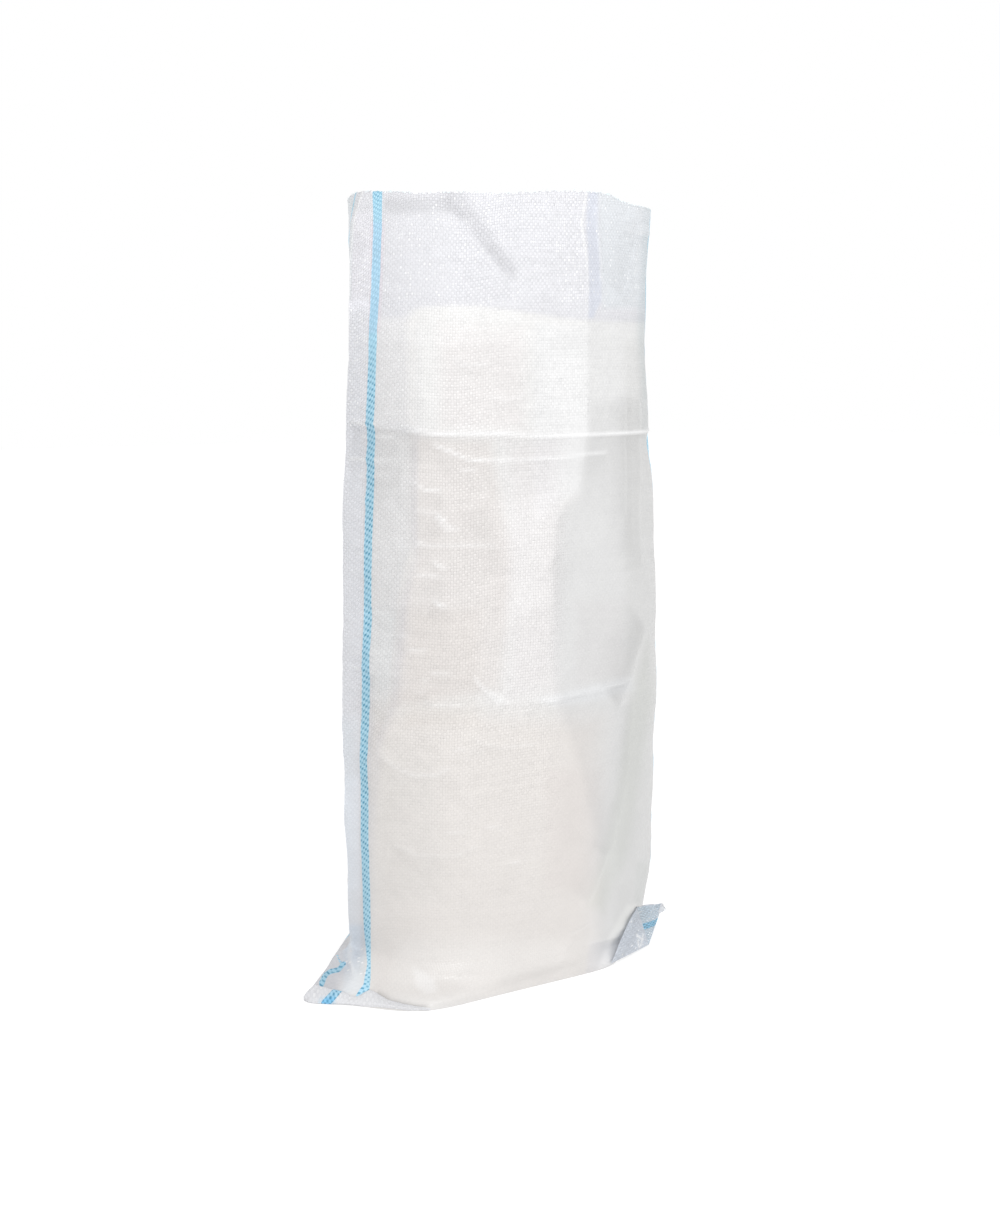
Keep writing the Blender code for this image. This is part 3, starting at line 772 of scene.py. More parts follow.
def shape_cloth(cloth, rng):
    """Pushes the wall in and out: creases, ridge, valley and slack, with painted highlights and
    shade.
    """
    s, z = cloth.s, cloth.z
    push = np.zeros(s.shape)
    whiten = np.zeros(s.shape)
    shade = np.ones(s.shape)
    # Each crease: a white line on its ridge, partly pressed white and partly a painted highlight,
    # and painted shade on its shelf
    for route, ridge, shelf, white, dark, width, fade in all_creases(cloth, rng):
        d, along, length = to_route(s, z, route)
        ends = faded_ends(along, length, fade)
        below = np.maximum(-d, 0) / CREASE_SHELF
        hollow = below * np.exp(1 - below)
        push += ends * (ridge * bell(d, width) - shelf * hollow)
        whiten = np.maximum(whiten, white * ends * bell(d, CREASE_WIDTH))
        shade *= 1 - dark * ends * hollow

    # The valley is painted darker too, as painted shade
    d, along, length = to_route(s, z, cloth.route(VALLEY))
    in_valley = bell(d, VALLEY_WIDTH - VALLEY_NARROWING * along)
    in_valley = in_valley * smooth((length - along) / VALLEY_END)
    push -= VALLEY_DEPTH * in_valley
    shade *= 1 - VALLEY_SHADE * in_valley

    d, along, length = to_route(s, z, cloth.route(RIDGE))
    tent = np.maximum(1 - np.abs(d) / RIDGE_REACH, 0) ** RIDGE_STEEPNESS
    ends = faded_ends(along + RIDGE_RUN_ON, length + RIDGE_RUN_ON, RIDGE_FADE)
    push += RIDGE_HEIGHT * tent * ends
    # The ridge's white line: partly pressed white and partly a painted highlight
    whiter = RIDGE_WHITE_BETWEEN + (1 - RIDGE_WHITE_BETWEEN) * above(z, *RIDGE_WHITER_FROM)
    whiten = np.maximum(whiten, above(z, *RIDGE_WHITE_FROM) * whiter * bell(d, RIDGE_WHITE_WIDTH))

    # The left fold's white line: partly pressed white and partly a painted highlight
    from_fold = np.minimum(s, s[:, -1:] - s)
    pressed = FOLD_WHITE * above(z, *FOLD_WHITE_FROM) * bell(from_fold, FOLD_WHITE_WIDTH)
    whiten = np.maximum(whiten, pressed)

    d, along, length = to_route(s, z, cloth.route(HEM_TOP))
    ends = faded_ends(along, length, HEM_GAP_FADE)
    push -= HEM_GAP_DEPTH * bell(d, HEM_GAP_WIDTH) * ends
    # Right of the stripe a line of painted shade lies in the hem's gap
    past_stripe = s > cloth.sample(s, cloth.place(HEM_TOP[HEM_SHADE_CORNER]))
    shade *= 1 - HEM_SHADE * bell(d, HEM_SHADE_WIDTH) * ends * past_stripe

    way = s / s[:, -1:]
    behind = above(way, *BACK_DENT_FROM) * smooth((BACK_DENT_TO[0] - way) / BACK_DENT_TO[1])
    push += BACK_DENT * behind * smooth(z / BACK_DENT_FOOT) * waves(rng, s, z, *BACK_DENT_WAVES)
    slack = above(z, SLACK_FROM, SLACK_EASE)
    for size, *lengths_and_count in SLACK_WAVES:
        push += slack * size * waves(rng, s, z, *lengths_and_count)

    rim = np.exp((z - RIM_HEIGHT + RIM_CUT_FROM) / RIM_CUT_EASE)
    cloth.points = cloth.points + push[:, :, None] * cloth.normals
    cloth.points[:, :, 2] -= np.minimum(rim, 1) * rng.uniform(0, RIM_CUT_DEPTH, s.shape[1])
    cloth.points[:, :, 2] = np.maximum(cloth.points[:, :, 2], 0.0)
    cloth.points[:, -1] = cloth.points[:, 0]
    return whiten, shade


def filled_share(cloth):
    """1 where the powder lies against the cloth, 0 where the cloth is hollow behind."""
    s, z = cloth.s, cloth.z
    edge = cloth.route(FILL_EDGE)
    top = np.interp(s, edge[:, 0], edge[:, 1])
    left = cloth.route(FILL_LEFT)
    order = np.argsort(left[:, 1])
    bound = np.interp(z, left[order, 1], left[order, 0])
    sharp_top, sharp_bottom = cloth.route(FILL_LEFT_SHARP)[:, 1]
    sharp = above(z, sharp_bottom, FILL_SHARP_EASE) * smooth((sharp_top - z) / FILL_SHARP_EASE)
    below = smooth(0.5 + (top - z) / FILL_TOP_SOFT)
    inside = smooth(0.5 + (s - bound) / (FILL_SOFT - FILL_SHARPER * sharp))
    inside_behind = above(s[:, -1:] - s, FILL_BEHIND_SHARE * bound, FILL_BEHIND_SOFT)
    return below * np.minimum(inside, inside_behind)


def stripe_distance(pixels, stripe):
    """Distance outside a stripe's edge, in metres, for a route of pixels with half widths."""
    route = np.array(stripe, float)
    d, along, _ = to_route(pixels[:, :, 0], pixels[:, :, 1], route[:, :2])
    return (np.abs(d) - np.interp(along, lengths_along(route[:, :2]), route[:, 2])) * PIXEL


def right_silhouette(cloth):
    """How far round the cloth the right silhouette lies, row by row."""
    heights = cloth.z[:, 0]
    edge = np.array([p[:FRONT_COLUMNS].argmax() for p in cloth.pixels[:, :, 0]])
    foot = edge[np.searchsorted(heights, SILHOUETTE_FOOT)]
    edge = np.where(heights > SILHOUETTE_LOWEST, edge, foot)
    place = np.take_along_axis(cloth.s, edge[:, None], 1)[:, 0] - SILHOUETTE_INSET
    padded = np.pad(place, SILHOUETTE_ROWS // 2, mode="edge")
    return np.convolve(padded, np.ones(SILHOUETTE_ROWS) / SILHOUETTE_ROWS, "valid")


def tape_coordinates(cloth):
    """The tube's own coordinates: u counts its metre round, from stripe to stripe. The third
    grid says how far each point lies outside the nearest stripe."""
    heights, round_length = cloth.z[:, 0], cloth.s[:, -1]
    stripe = cloth.route([p[:2] for p in STRIPE_FRONT_LEFT])
    order = np.argsort(stripe[:, 1])
    left = np.interp(heights, stripe[order, 1], stripe[order, 0])
    right = right_silhouette(cloth) + np.interp(heights, *zip(*RIGHT_STRIPE_SHIFT))
    behind_right = right + STRIPES_APART_RIGHT
    behind_left = round_length - STRIPE_BACK_DISTANCE + np.interp(heights, *zip(*STRIPE_BACK_DRAW))
    anchors = np.stack((behind_left - round_length, left, right, behind_right, behind_left,
                        round_length + left), 1)
    places = np.array((STRIPE_PLACES[-1] - WARP_TAPES, *STRIPE_PLACES,
                       STRIPE_PLACES[0] + WARP_TAPES)) / WARP_TAPES
    u = np.array([np.interp(s, row, places) for s, row in zip(cloth.s, anchors)])

    outside = np.full(cloth.s.shape, FAR)
    narrow = np.interp(heights, *zip(*STRIPE_BACK_SHARE))
    for place, share in ((right, 1.0), (behind_right, 1.0), (behind_left, narrow[:, None])):
        half = STRIPE_CLOTH_WIDTH / 2 * share
        outside = np.minimum(outside, np.abs(cloth.s - place[:, None]) - half)
    seen = cloth.seen()
    low = smooth((EAR_STRIPES_BELOW - cloth.z) / EAR_STRIPES_EASE)
    outside = outside + FAR * low * seen * (cloth.points[:, :, 0] < EAR_STRIPES_LEFT_OF)
    for route in (STRIPE_FRONT_LEFT, STRIPE_ON_EAR, STRIPE_EAR_THREAD):
        outside = np.where(seen, np.minimum(outside, stripe_distance(cloth.pixels, route)), outside)
    return u, cloth.v, np.minimum(outside, FAR)


def painted(cloth):
    """The cloth's tint, partly its own colour and partly painted shade and light, how thick its
    white specks (painted glints) lie, where painted highlights make it shine white, and how
    clearly its tapes show."""
    seen = cloth.seen()

    def inside(corners, soft):
        return inside_polygon(cloth.pixels, corners, soft) * seen

    # The tints are partly the cloth's own colour and partly painted shade and painted light
    tint = np.ones((*cloth.s.shape, 3))
    for corners, soft, colour in TINTS_AND_PAINTED_SHADING:
        tint = tint * (1 + inside(corners, soft)[:, :, None] * (np.array(colour) - 1))
    specks = HIGH_SPECKS * above(cloth.z, *HIGH_SPECKS_FROM)
    for corners, soft, amount in SPECKLES:
        specks = np.maximum(specks, amount * inside(corners, soft))
    shine = np.zeros(cloth.s.shape)
    for corners, soft, amount in GLINTS:
        shine = np.maximum(shine, amount * inside(corners, soft))
    weave = np.interp(cloth.z, *zip(*TAPES_SHOW))
    for corners, soft, factor in SMOOTHER:
        weave = weave * (1 + (factor - 1) * inside(corners, soft))
    return tint, specks, shine, weave


# Meshes

def new_piece(name, vertices, faces, material):
    mesh = bpy.data.meshes.new(name)
    mesh.from_pydata((np.asarray(vertices) + PLACE).tolist(), [], faces)
    mesh.validate()
    mesh.materials.append(material)
    mesh.shade_smooth()
    piece = bpy.data.objects.new(name, mesh)
    bpy.context.scene.collection.objects.link(piece)
    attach(piece, "root")
    return piece


def set_values(mesh, name, values):
    attribute = mesh.attributes.new(name, "FLOAT", "POINT")
    attribute.data.foreach_set("value", np.asarray(values, np.float32).ravel())


def set_tint(mesh, colours):
    attribute = mesh.attributes.new("tint", "FLOAT_COLOR", "POINT")
    full = np.concatenate((colours.reshape(-1, 3), np.ones((colours.size // 3, 1))), 1)
    attribute.data.foreach_set("color", full.astype(np.float32).ravel())


def set_tapes(mesh, tapes):
    """The UV layer of the tapes: per vertex, the warp and weft places in tapes."""
    corners = np.zeros(len(mesh.loops), int)
    mesh.loops.foreach_get("vertex_index", corners)
    layer = mesh.uv_layers.new(name="tapes")
    layer.data.foreach_set("uv", np.asarray(tapes, np.float32)[corners].ravel())


def grid_faces(rows, columns):
    """The faces of a grid of points that lie row by row."""
    index = np.arange(rows * columns).reshape(rows, columns)
    return np.stack((index[:-1, :-1], index[:-1, 1:], index[1:, 1:], index[1:, :-1]),
                    -1).reshape(-1, 4).tolist()


def cloth_piece(name, points, tapes, outside, material, filled=0.0, whiten=0.0, specks=0.0,
                tint=(1.0, 1.0, 1.0), weave=1.0):
    """A piece of the tape cloth on a grid of points, with what its material reads."""
    rows, columns = points.shape[:2]
    points = np.concatenate((points[:, :, :2], np.maximum(points[:, :, 2:], 0.0)), 2)
    piece = new_piece(name, points.reshape(-1, 3), grid_faces(rows, columns), material)
    set_tapes(piece.data, tapes.reshape(-1, 2))
    for value_name, value in (("filled", filled), ("whiten", whiten), ("specks", specks),
                              ("outside", outside), ("weave", weave)):
        set_values(piece.data, value_name, np.broadcast_to(value, (rows, columns)))
    set_tint(piece.data, np.broadcast_to(np.array(tint), (rows, columns, 3)))
    return piece


def build_wall(cloth, material, rng):
    whiten, shade = shape_cloth(cloth, rng)
    filled = filled_share(cloth)
    u, v, outside = tape_coordinates(cloth)
    tint, specks, shine, weave = painted(cloth)
    # Painted highlights join the white lines, and the painted shade darkens the tint
    whiten = np.maximum(whiten, shine)
    tint = tint * shade[:, :, None]
    tapes = np.stack((u * WARP_TAPES, v / WEFT_PITCH), -1)
    return cloth_piece("woven_cloth", cloth.points, tapes, outside, material, filled, whiten,
                       specks, tint, weave)


def build_base(cloth, material):
    """The cloth under the sack: the floor row drawn in towards its middle."""
    floor_row = cloth.points[0]
    middle = floor_row.mean(0)
    rings = []
    for share, lift in BASE_RINGS:
        ring = middle + (floor_row - middle) * share
        ring[:, 2] = lift
        rings.append(ring)
    points = np.array(rings)
    tapes = points[:, :, :2] / WEFT_PITCH
    return cloth_piece("base_cloth", points, tapes, FAR, material, filled=1.0)


def build_hem(cloth, material):
    """The folded hem where it shows: it leaves the left ear and runs along the front's foot."""
    top, bottom = even_points(HEM_TOP, HEM_STEPS), even_points(HEM_BOTTOM, HEM_STEPS)
    points = np.empty((len(HEM_PROFILE), HEM_STEPS + 1, 3))
    pixels = np.empty((len(HEM_PROFILE), HEM_STEPS + 1, 2))
    for k in range(HEM_STEPS + 1):
        for row, (share, offset) in enumerate(HEM_PROFILE):
            pixel = top[k] + (bottom[k] - top[k]) * share
            place = cloth.place(pixel)
            normal = cloth.sample(cloth.normals, place)
            points[row, k] = cloth.sample(cloth.points, place) + offset * normal
            pixels[row, k] = pixel
    points[:, :, 2] = np.maximum(points[:, :, 2], HEM_LOWEST)
    down = np.linspace(0, HEM_HEIGHT, len(HEM_PROFILE))
    tapes = np.stack(np.broadcast_arrays(lengths_along(points[1])[None, :] / WEFT_PITCH + 0.5,
                                         down[:, None] / WEFT_PITCH), -1)
    dark_blue = inside_polygon(pixels, HEM_DARK_BLUE, HEM_DARK_BLUE_SOFT)[:, :, None]
    # HEM_TINT lightens the band as painted light
    tint = (1 - dark_blue * HEM_DARK_BLUE_LOSS) * HEM_TINT
    return cloth_piece("hem_band", points, tapes, stripe_distance(pixels, HEM_STRIPE), material,
                       tint=tint, **HEM_LOOKS)


def across_routes(routes, steps):
    """A grid whose first row is the first route and whose last row is the last one."""
    lines = np.array([even_points(route, steps) for route in routes])
    at = np.linspace(0, len(lines) - 1, steps + 1)
    low = np.minimum(at.astype(int), len(lines) - 2)
    share = (at - low)[:, None, None]
    return (1 - share) * lines[low] + share * lines[low + 1]


def flap(name, routes, material, rng, **more_looks):
    """One of the ear's pieces, from route to route, with its bulge and small dents."""
    tapes, bulge, dent, looks = EAR_PIECES[name]
    points = across_routes(routes, FLAP_STEPS)
    ahead = points[-1].mean(0) - points[0].mean(0)
    across = points[:, -1].mean(0) - points[:, 0].mean(0)
    normal = np.cross(across, ahead)
    normal = normal / np.linalg.norm(normal)
    s = np.linspace(0, 1, FLAP_STEPS + 1)[None, :]
    t = s.T
    within = np.sin(math.pi * s) * np.sin(math.pi * t)
    dents = np.zeros(within.shape)
    for _ in range(FLAP_DENTS):
        turns = rng.uniform(-FLAP_DENT_TURNS, FLAP_DENT_TURNS, 2)
        phase = rng.uniform(0, FLAP_DENT_PHASES)
        dents += np.cos(2 * math.pi * (turns[0] * s + turns[1] * t) + phase)
    points += (bulge * within + dent * dents * np.sqrt(within))[:, :, None] * normal
    uv = across_routes((tapes[:2], tapes[2:]), FLAP_STEPS)
    outside = np.minimum((np.abs(uv[:, :, 0]) - EAR_STRIPE_TAPES / 2) * WEFT_PITCH, FAR)
    tint = np.where(outside[:, :, None] < 0, EAR_STRIPE_TINT, 1) * looks["tint"]
    looks = {**looks, **more_looks, "tint": tint}
    return cloth_piece(name, points, uv, outside, material, **looks)


def streaks_on_flap():
    """How white each point of a flap is painted, for the gusset's streaks of painted highlight."""
    down, away = np.meshgrid(*[np.linspace(0, 1, FLAP_STEPS + 1)] * 2)
    white = np.full(down.shape, EAR_WHITE_BETWEEN)
    for streak in EAR_STREAKS:
        distance = to_route(down, away, np.array(streak))[0]
        white = np.maximum(white, bell(distance, EAR_STREAK_WIDTH))
    return white


def build_right_ear(cloth, material, rng):
    """The right corner, closed all round: a gusset with painted highlight streaks that starts at
    the body, the flap behind it with its stripe, painted darker as shade, the back and the top,
    and the hem folded over the tip."""
    fold = [at_pixel(pixel, height) for pixel, height in zip(EAR_FOLD, EAR_FOLD_HEIGHTS)]
    apex, corner = fold[0], at_pixel(*EAR_CORNER)
    low_tip, high_tip = at_pixel(*EAR_LOW_TIP), at_pixel(*EAR_HIGH_TIP)
    body = []
    for column, height in EAR_BACK:
        row = np.searchsorted(cloth.z[:, column], height)
        body.append(cloth.points[row, column] - EAR_BACK_INSET * cloth.normals[row, column])
    # The hem is folded over the tip and comes back behind it
    near = [at_pixel(pixel, height + EAR_TIP_ABOVE) for pixel, height in EAR_TIP_INNER]
    edge = [at_pixel(pixel, height) for pixel, height in EAR_TIP_OUTER]
    far = [at_pixel(pixel, height - EAR_TIP_BELOW) for pixel, height in EAR_TIP_INNER]
    gusset_end = even_points((apex, corner), len(fold) - 1)
    return [
        flap("ear_gusset", (fold, gusset_end), material, rng, whiten=streaks_on_flap()),
        flap("ear_flap", ((apex, corner), (high_tip, low_tip)), material, rng),
        flap("ear_back", ((high_tip, low_tip, EAR_TIP_FOOT), body), material, rng),
        flap("ear_top", ((apex, high_tip), (body[0], high_tip)), material, rng),
        flap("ear_tip_hem", (near, edge, far), material, rng),
    ]


def build_rim_ends(cloth, material, rng):
    """Loose tape ends and fibres along the raw cut mouth."""
    rim, outward = cloth.points[-1, :-1], cloth.normals[-1, :-1]
    vertices, faces, whiten = [], [], []
    for _ in range(RIM_ENDS):
        k = rng.integers(0, len(rim) - 1)
        side = rim[k + 1] - rim[k]
        start = rim[k] + side * rng.uniform(0, 1)
        side = side / np.linalg.norm(side)
        fibre = rng.uniform() < FIBRE_SHARE
        widths, lengths, lean_along = FIBRE_SIZES if fibre else TAPE_END_SIZES
        width, length = rng.uniform(*widths), rng.uniform(*lengths)
        lean = side * rng.normal(0, lean_along) + outward[k] * rng.normal(0, RIM_LEAN_OUT)
        base = start - np.array((0, 0, RIM_END_ROOT))
        base = base + outward[k] * rng.choice((-1, 1)) * RIM_END_OFFSET
        first = len(vertices)
        for share in np.linspace(0, 1, RIM_END_STEPS + 1):
            rise = np.array((0, 0, 1.0)) * (share - FIBRE_DROOP * fibre * share**2)
            at = base + (length + RIM_END_ROOT) * (rise + lean * share**2)
            half = side * width * (1 - TIP_NARROWING * share) / 2
            vertices += [at - half, at + half]
        faces += [(j, j + 1, j + 3, j + 2) for j in range(first, first + 2 * RIM_END_STEPS, 2)]
        whiten += [rng.uniform(*RIM_END_WHITENESS)] * (2 * (RIM_END_STEPS + 1))
    piece = new_piece("rim_tape_ends", vertices, faces, material)
    set_values(piece.data, "whiten", whiten)
    return piece


def powder_ring(cloth, height, inset):
    """The powder's outline: inside the cloth, and rounded off before the empty fold."""
    row = np.searchsorted(cloth.z[:, 0], height)
    level = cloth.points[row, :-1:2] - cloth.normals[row, :-1:2] * inset
    past = level[:, 0] - POWDER_LEFT
    rounded = POWDER_ROUNDING * np.exp(past / POWDER_ROUNDING - 1)
    level[:, 0] = POWDER_LEFT + np.where(past < POWDER_ROUNDING, rounded, past)
    level[:, 2] = height
    return level


def lumps(x, y):
    """The height of the powder's soft lumps, from the largest to the smallest."""
    height = np.zeros(len(x))
    for scale, size in POWDER_LUMPS:
        bent_x = scale * x + LUMPS_BEND_X[0] * np.sin(scale * LUMPS_BEND_X[1] * y)
        bent_y = scale * LUMPS_SCALE_Y * y + LUMPS_BEND_Y[0] * np.sin(scale * LUMPS_BEND_Y[1] * x)
        height += size * (np.sin(bent_x) * np.cos(bent_y))
    return height


def build_cement(cloth, material, rng):
    """The powder: it lies against the cloth, stops short of the empty fold on the left, and
    its top is a low uneven heap."""
    middle = cloth.points[np.searchsorted(cloth.z[:, 0], POWDER_TOP), :-1:2].mean(0)
    sides = np.arange(POWDER_LOW, POWDER_TOP - POWDER_STEP / 2, POWDER_STEP)
    rings = [powder_ring(cloth, height, POWDER_INSET) for height in sides]
    edge = powder_ring(cloth, POWDER_TOP, POWDER_TOP_INSET)
    for share in np.linspace(1, POWDER_SMALLEST_RING, POWDER_RINGS):
        level = middle + (edge - middle) * share
        rough = lumps(level[:, 0], level[:, 1]) * min(1, POWDER_LUMPS_FADE * (1 - share))
        grain = rng.uniform(-POWDER_GRAIN, POWDER_GRAIN, len(level))
        grain = grain * min(1, POWDER_GRAIN_FADE * share)
        round_edge = POWDER_EDGE_DROP * np.exp(-(1 - share) / POWDER_EDGE_REACH)
        level[:, 2] = POWDER_TOP + POWDER_HEAP * (1 - share**2) + rough + grain - round_edge
        rings.append(level)
    points = np.array(rings)
    points = np.concatenate((points, points[:, :1]), 1)
    return new_piece("cement_powder", points.reshape(-1, 3), grid_faces(*points.shape[:2]),
                     material)


def build_stitches(material):
    """Stitches along the hem, under the sack: a twisted thread that dips between holes."""
    route = curve(SEAM_ROUTE, SEAM_SAMPLES)
    length = lengths_along(route)[-1]
    steps = int(length / STITCH_STEP)
    centre = even_points(route, steps)
    ahead = np.gradient(centre, axis=0)
    side = np.stack((-ahead[:, 1], ahead[:, 0]), 1) / np.linalg.norm(ahead, axis=1)[:, None]
    phase = np.linspace(0, length, steps + 1) / STITCH_PITCH % 1
    thick = STITCH_THINNEST + (1 - STITCH_THINNEST) * np.sin(math.pi * phase) ** 0.5
    sway = STITCH_SWAY * np.sin(2 * math.pi * phase)
    rows = []
    for turn in 2 * math.pi * np.arange(STITCH_SIDES + 1) / STITCH_SIDES:
        plan = centre + side * (THREAD_HALF_WIDTH * thick * math.cos(turn) + sway)[:, None]
        up = THREAD_HALF_HEIGHT * (1 + thick * math.sin(turn))
        rows.append(np.concatenate((plan, up[:, None]), 1))
    points = np.array(rows)
    return new_piece("hem_stitches", points.reshape(-1, 3), grid_faces(*points.shape[:2]),
                     material)


# Materials
# A range has the two ends that a map reads and, where they aren't 0 and 1, the two that it
# gives. A noise has its scale and its detail.

# The cloth's colours: a blue tape over and under the weft, the white over hollow and fill,
# the creases' white, partly pressed white and partly a painted highlight, and specks, painted
# glints
BLUE, BLUE_UNDER = (0.47, 0.765, 0.93, 1), (0.09, 0.36, 0.55, 1)
HOLLOW_WHITE, FILLED_WHITE = (0.78, 0.78, 0.81, 1), (0.745, 0.74, 0.735, 1)
PRESSED_WHITE_AND_HIGHLIGHT, SPECK_WHITE = (0.95, 0.95, 0.955, 1), (0.97, 0.97, 0.975, 1)
# How a tape sags along its float and how square it is across, how much it tilts, how deep the
# bump of the weave and its wrinkles is, and half the width over which a stripe's edge changes
TAPE_SAG, TAPE_SQUARENESS, TAPE_TILT = 2.0, 6.0, 1.6
WEAVE_BUMP, WRINKLE_BUMP, STRIPE_EDGE = 0.00034, 2.0, 0.0002
# Dark spots of the stripes: their chance, how they end along and across a tape, and the
# height ranges in which the weft stops showing through and shows again
SPOT_CHANCE = (0.0, 1.0, 0.55, 1.0)
SPOT_ALONG, SPOT_ACROSS = (0.40, 0.95, 1.0, 0.1), (0.55, 1.0, 1.0, 0.3)
WEFT_HIDES, WEFT_SHOWS = (0.59, 0.64, 0.0, 0.75), (0.745, 0.765, 1.0, 0.3)
# White of creases, folds and glints, partly pressed white and partly a painted highlight, and
# the specks, painted glints: their share, how they end, and how white they are
PRESSED_WHITE_AND_HIGHLIGHT_STRENGTH, SPECK_SHARE, SPECK_STRENGTH = 0.8, 0.30, 0.75
SPECK_ACROSS, SPECK_ALONG = (0.3, 0.8, 1.0, 0.0), (0.4, 0.9, 1.0, 0.0)
# Steps that give specks and roughness chances of their own
SPECK_OFFSET, ROUGH_OFFSET = 37.0, 71.0
# Tone: over and under where hollow or filled, partly the weave's pattern and partly a painted
# sheen, each float's own, the corners between tapes, mottle, wrinkles painted lighter and
# darker as their light and shade, and how the level follows the weave
OVER_TONE, TAPE_TONE = (0.0, 1.0, 0.085, 0.050), 0.075
CORNER, CORNER_TONE = (0.66, 0.95), -0.18
MOTTLE_NOISE, MOTTLE_TONE = (26.0, 3.0), (0.3, 0.7, -0.016, 0.016)
WRINKLE_NOISE, WRINKLE_STRETCH = (1.0, 2.0), (16.0, 16.0, 190.0)
WRINKLE_TONE = (0.35, 0.70, -0.015, 0.026)
LEVEL_SLOPE, LEVEL_BASE = 0.105, 0.885
WOVEN_ROUGHNESS, LIGHT_THROUGH = (0.0, 1.0, 0.28, 0.46), (0.0, 1.0, 0.30, 0.08)
# Loose ends of the rim: without and with a glint, the whitest ones, and their glint's streaks
END_WHITE, END_GLINT = (0.82, 0.87, 0.88, 1), (0.52, 0.71, 0.75, 1)
FIBRE_WHITE = (0.93, 0.93, 0.94, 1)
STREAK_NOISE, STREAK_RANGE = (900.0, 2.0), (0.35, 0.65)
END_ROUGHNESS, END_BUMP = (0.0, 1.0, 0.25, 0.42), 0.00005
# Powder: its colours, then the noise and the range of its lumps, grains and clouds
POWDER_DULL, POWDER_PALE = (0.60, 0.585, 0.55, 1), (0.70, 0.685, 0.65, 1)
POWDER_LUMP, POWDER_DARK_GRAIN = (0.53, 0.515, 0.48, 1), (0.36, 0.35, 0.33, 1)
LUMP_NOISE, LUMP_RANGE = (60.0, 6.0), (0.35, 0.65, 0.0, 0.5)
GRAIN_NOISE, GRAIN_RANGE = (900.0, 3.0), (0.60, 0.72, 0.0, 0.45)
CLOUD_NOISE, CLOUD_RANGE = (9.0, 3.0), (0.3, 0.7)
POWDER_ROUGHNESS, GRAIN_BUMP, POWDER_BUMP = (0.3, 0.7, 0.90, 1.0), 0.25, 0.0025
# Thread: its grooves, painted darker as their shade, its ribs and fuzz, how much more the ribs
# turn along Y than along X, how close they lie, and the fuzz's noise and range
THREAD_GROOVE, THREAD_RIB = (0.70, 0.70, 0.68, 1), (0.88, 0.88, 0.86, 1)
THREAD_FUZZ = (0.62, 0.61, 0.58, 1)
RIB_SLANT, RIB_SCALE = 2.0, 4200.0
FUZZ_NOISE, FUZZ_RANGE = (1500.0, 3.0), (0.4, 0.7, 0.0, 0.3)
THREAD_ROUGHNESS, THREAD_BUMP = (0.3, 0.7, 0.60, 0.85), 0.0002
# Floor
FLOOR_DARK, FLOOR_PALE = (0.36, 0.36, 0.36, 1), (0.40, 0.40, 0.40, 1)
FLOOR_CLOUDS, FLOOR_RANGE = 3.0, (0.3, 0.7)


class Nodes:
    """Short calls for a material's nodes."""

    def __init__(self, name):
        self.material = bpy.data.materials.new(name)
        self.material.use_nodes = True
        self.tree = self.material.node_tree
        self.shader = self.tree.nodes["Principled BSDF"]
        self.output = self.tree.nodes["Material Output"]

    def put(self, socket, value):
        if isinstance(value, bpy.types.NodeSocket):
            self.tree.links.new(value, socket)
        else:
            socket.default_value = value

    def look(self, colour, roughness, normal=None):
        self.put(self.shader.inputs["Base Color"], colour)
        self.put(self.shader.inputs["Roughness"], roughness)
        if normal:
            self.put(self.shader.inputs["Normal"], normal)
        return self.material

    def math(self, operation, *values):
        node = self.tree.nodes.new("ShaderNodeMath")
        node.operation = operation
        for socket, value in zip(node.inputs, values):
            self.put(socket, value)
        return node.outputs[0]

    def plus(self, a, b):
        return self.math("ADD", a, b)

    def minus(self, a, b):
        return self.math("SUBTRACT", a, b)

    def times(self, a, b):
        return self.math("MULTIPLY", a, b)

    def times_plus(self, a, b, c):
        return self.math("MULTIPLY_ADD", a, b, c)

    def map(self, value, low, high, to_low=0.0, to_high=1.0):
        node = self.tree.nodes.new("ShaderNodeMapRange")
        for socket, number in zip(node.inputs, (value, low, high, to_low, to_high)):
            self.put(socket, number)
        return node.outputs["Result"]

    def mix(self, share, a, b):
        node = self.tree.nodes.new("ShaderNodeMix")
        node.data_type = "RGBA"
        self.put(node.inputs["Factor"], share)
        self.put(node.inputs["A"], a)
        self.put(node.inputs["B"], b)
        return node.outputs["Result"]

    def vectors(self, operation, vector, socket, value):
        node = self.tree.nodes.new("ShaderNodeVectorMath")
        node.operation = operation
        self.put(node.inputs[0], vector)
        self.put(node.inputs[socket], value)
        return node.outputs[0]

    def attribute(self, name, output="Fac"):
        node = self.tree.nodes.new("ShaderNodeAttribute")
        node.attribute_name = name
        return node.outputs[output]

    def split(self, vector):
        node = self.tree.nodes.new("ShaderNodeSeparateXYZ")
        self.put(node.inputs[0], vector)
        return node.outputs[0], node.outputs[1], node.outputs[2]

    def tape_uv(self):
        node = self.tree.nodes.new("ShaderNodeUVMap")
        node.uv_map = "tapes"
        return self.split(node.outputs[0])[:2]

    def place(self):
        return self.tree.nodes.new("ShaderNodeTexCoord").outputs["Object"]

    def noise(self, scale, detail=2.0, vector=None):
        node = self.tree.nodes.new("ShaderNodeTexNoise")
        node.inputs["Scale"].default_value = scale
        node.inputs["Detail"].default_value = detail
        self.put(node.inputs["Vector"], vector or self.place())
        return node.outputs["Fac"]

    def random(self, x, y):
        join = self.tree.nodes.new("ShaderNodeCombineXYZ")
        self.put(join.inputs[0], x)
        self.put(join.inputs[1], y)
        node = self.tree.nodes.new("ShaderNodeTexWhiteNoise")
        node.noise_dimensions = "2D"
        self.put(node.inputs["Vector"], join.outputs[0])
        return node.outputs["Value"]

    def bump(self, height, distance):
        node = self.tree.nodes.new("ShaderNodeBump")
        node.inputs["Strength"].default_value = 1.0
        node.inputs["Distance"].default_value = distance
        self.put(node.inputs["Height"], height)
        return node.outputs[0]


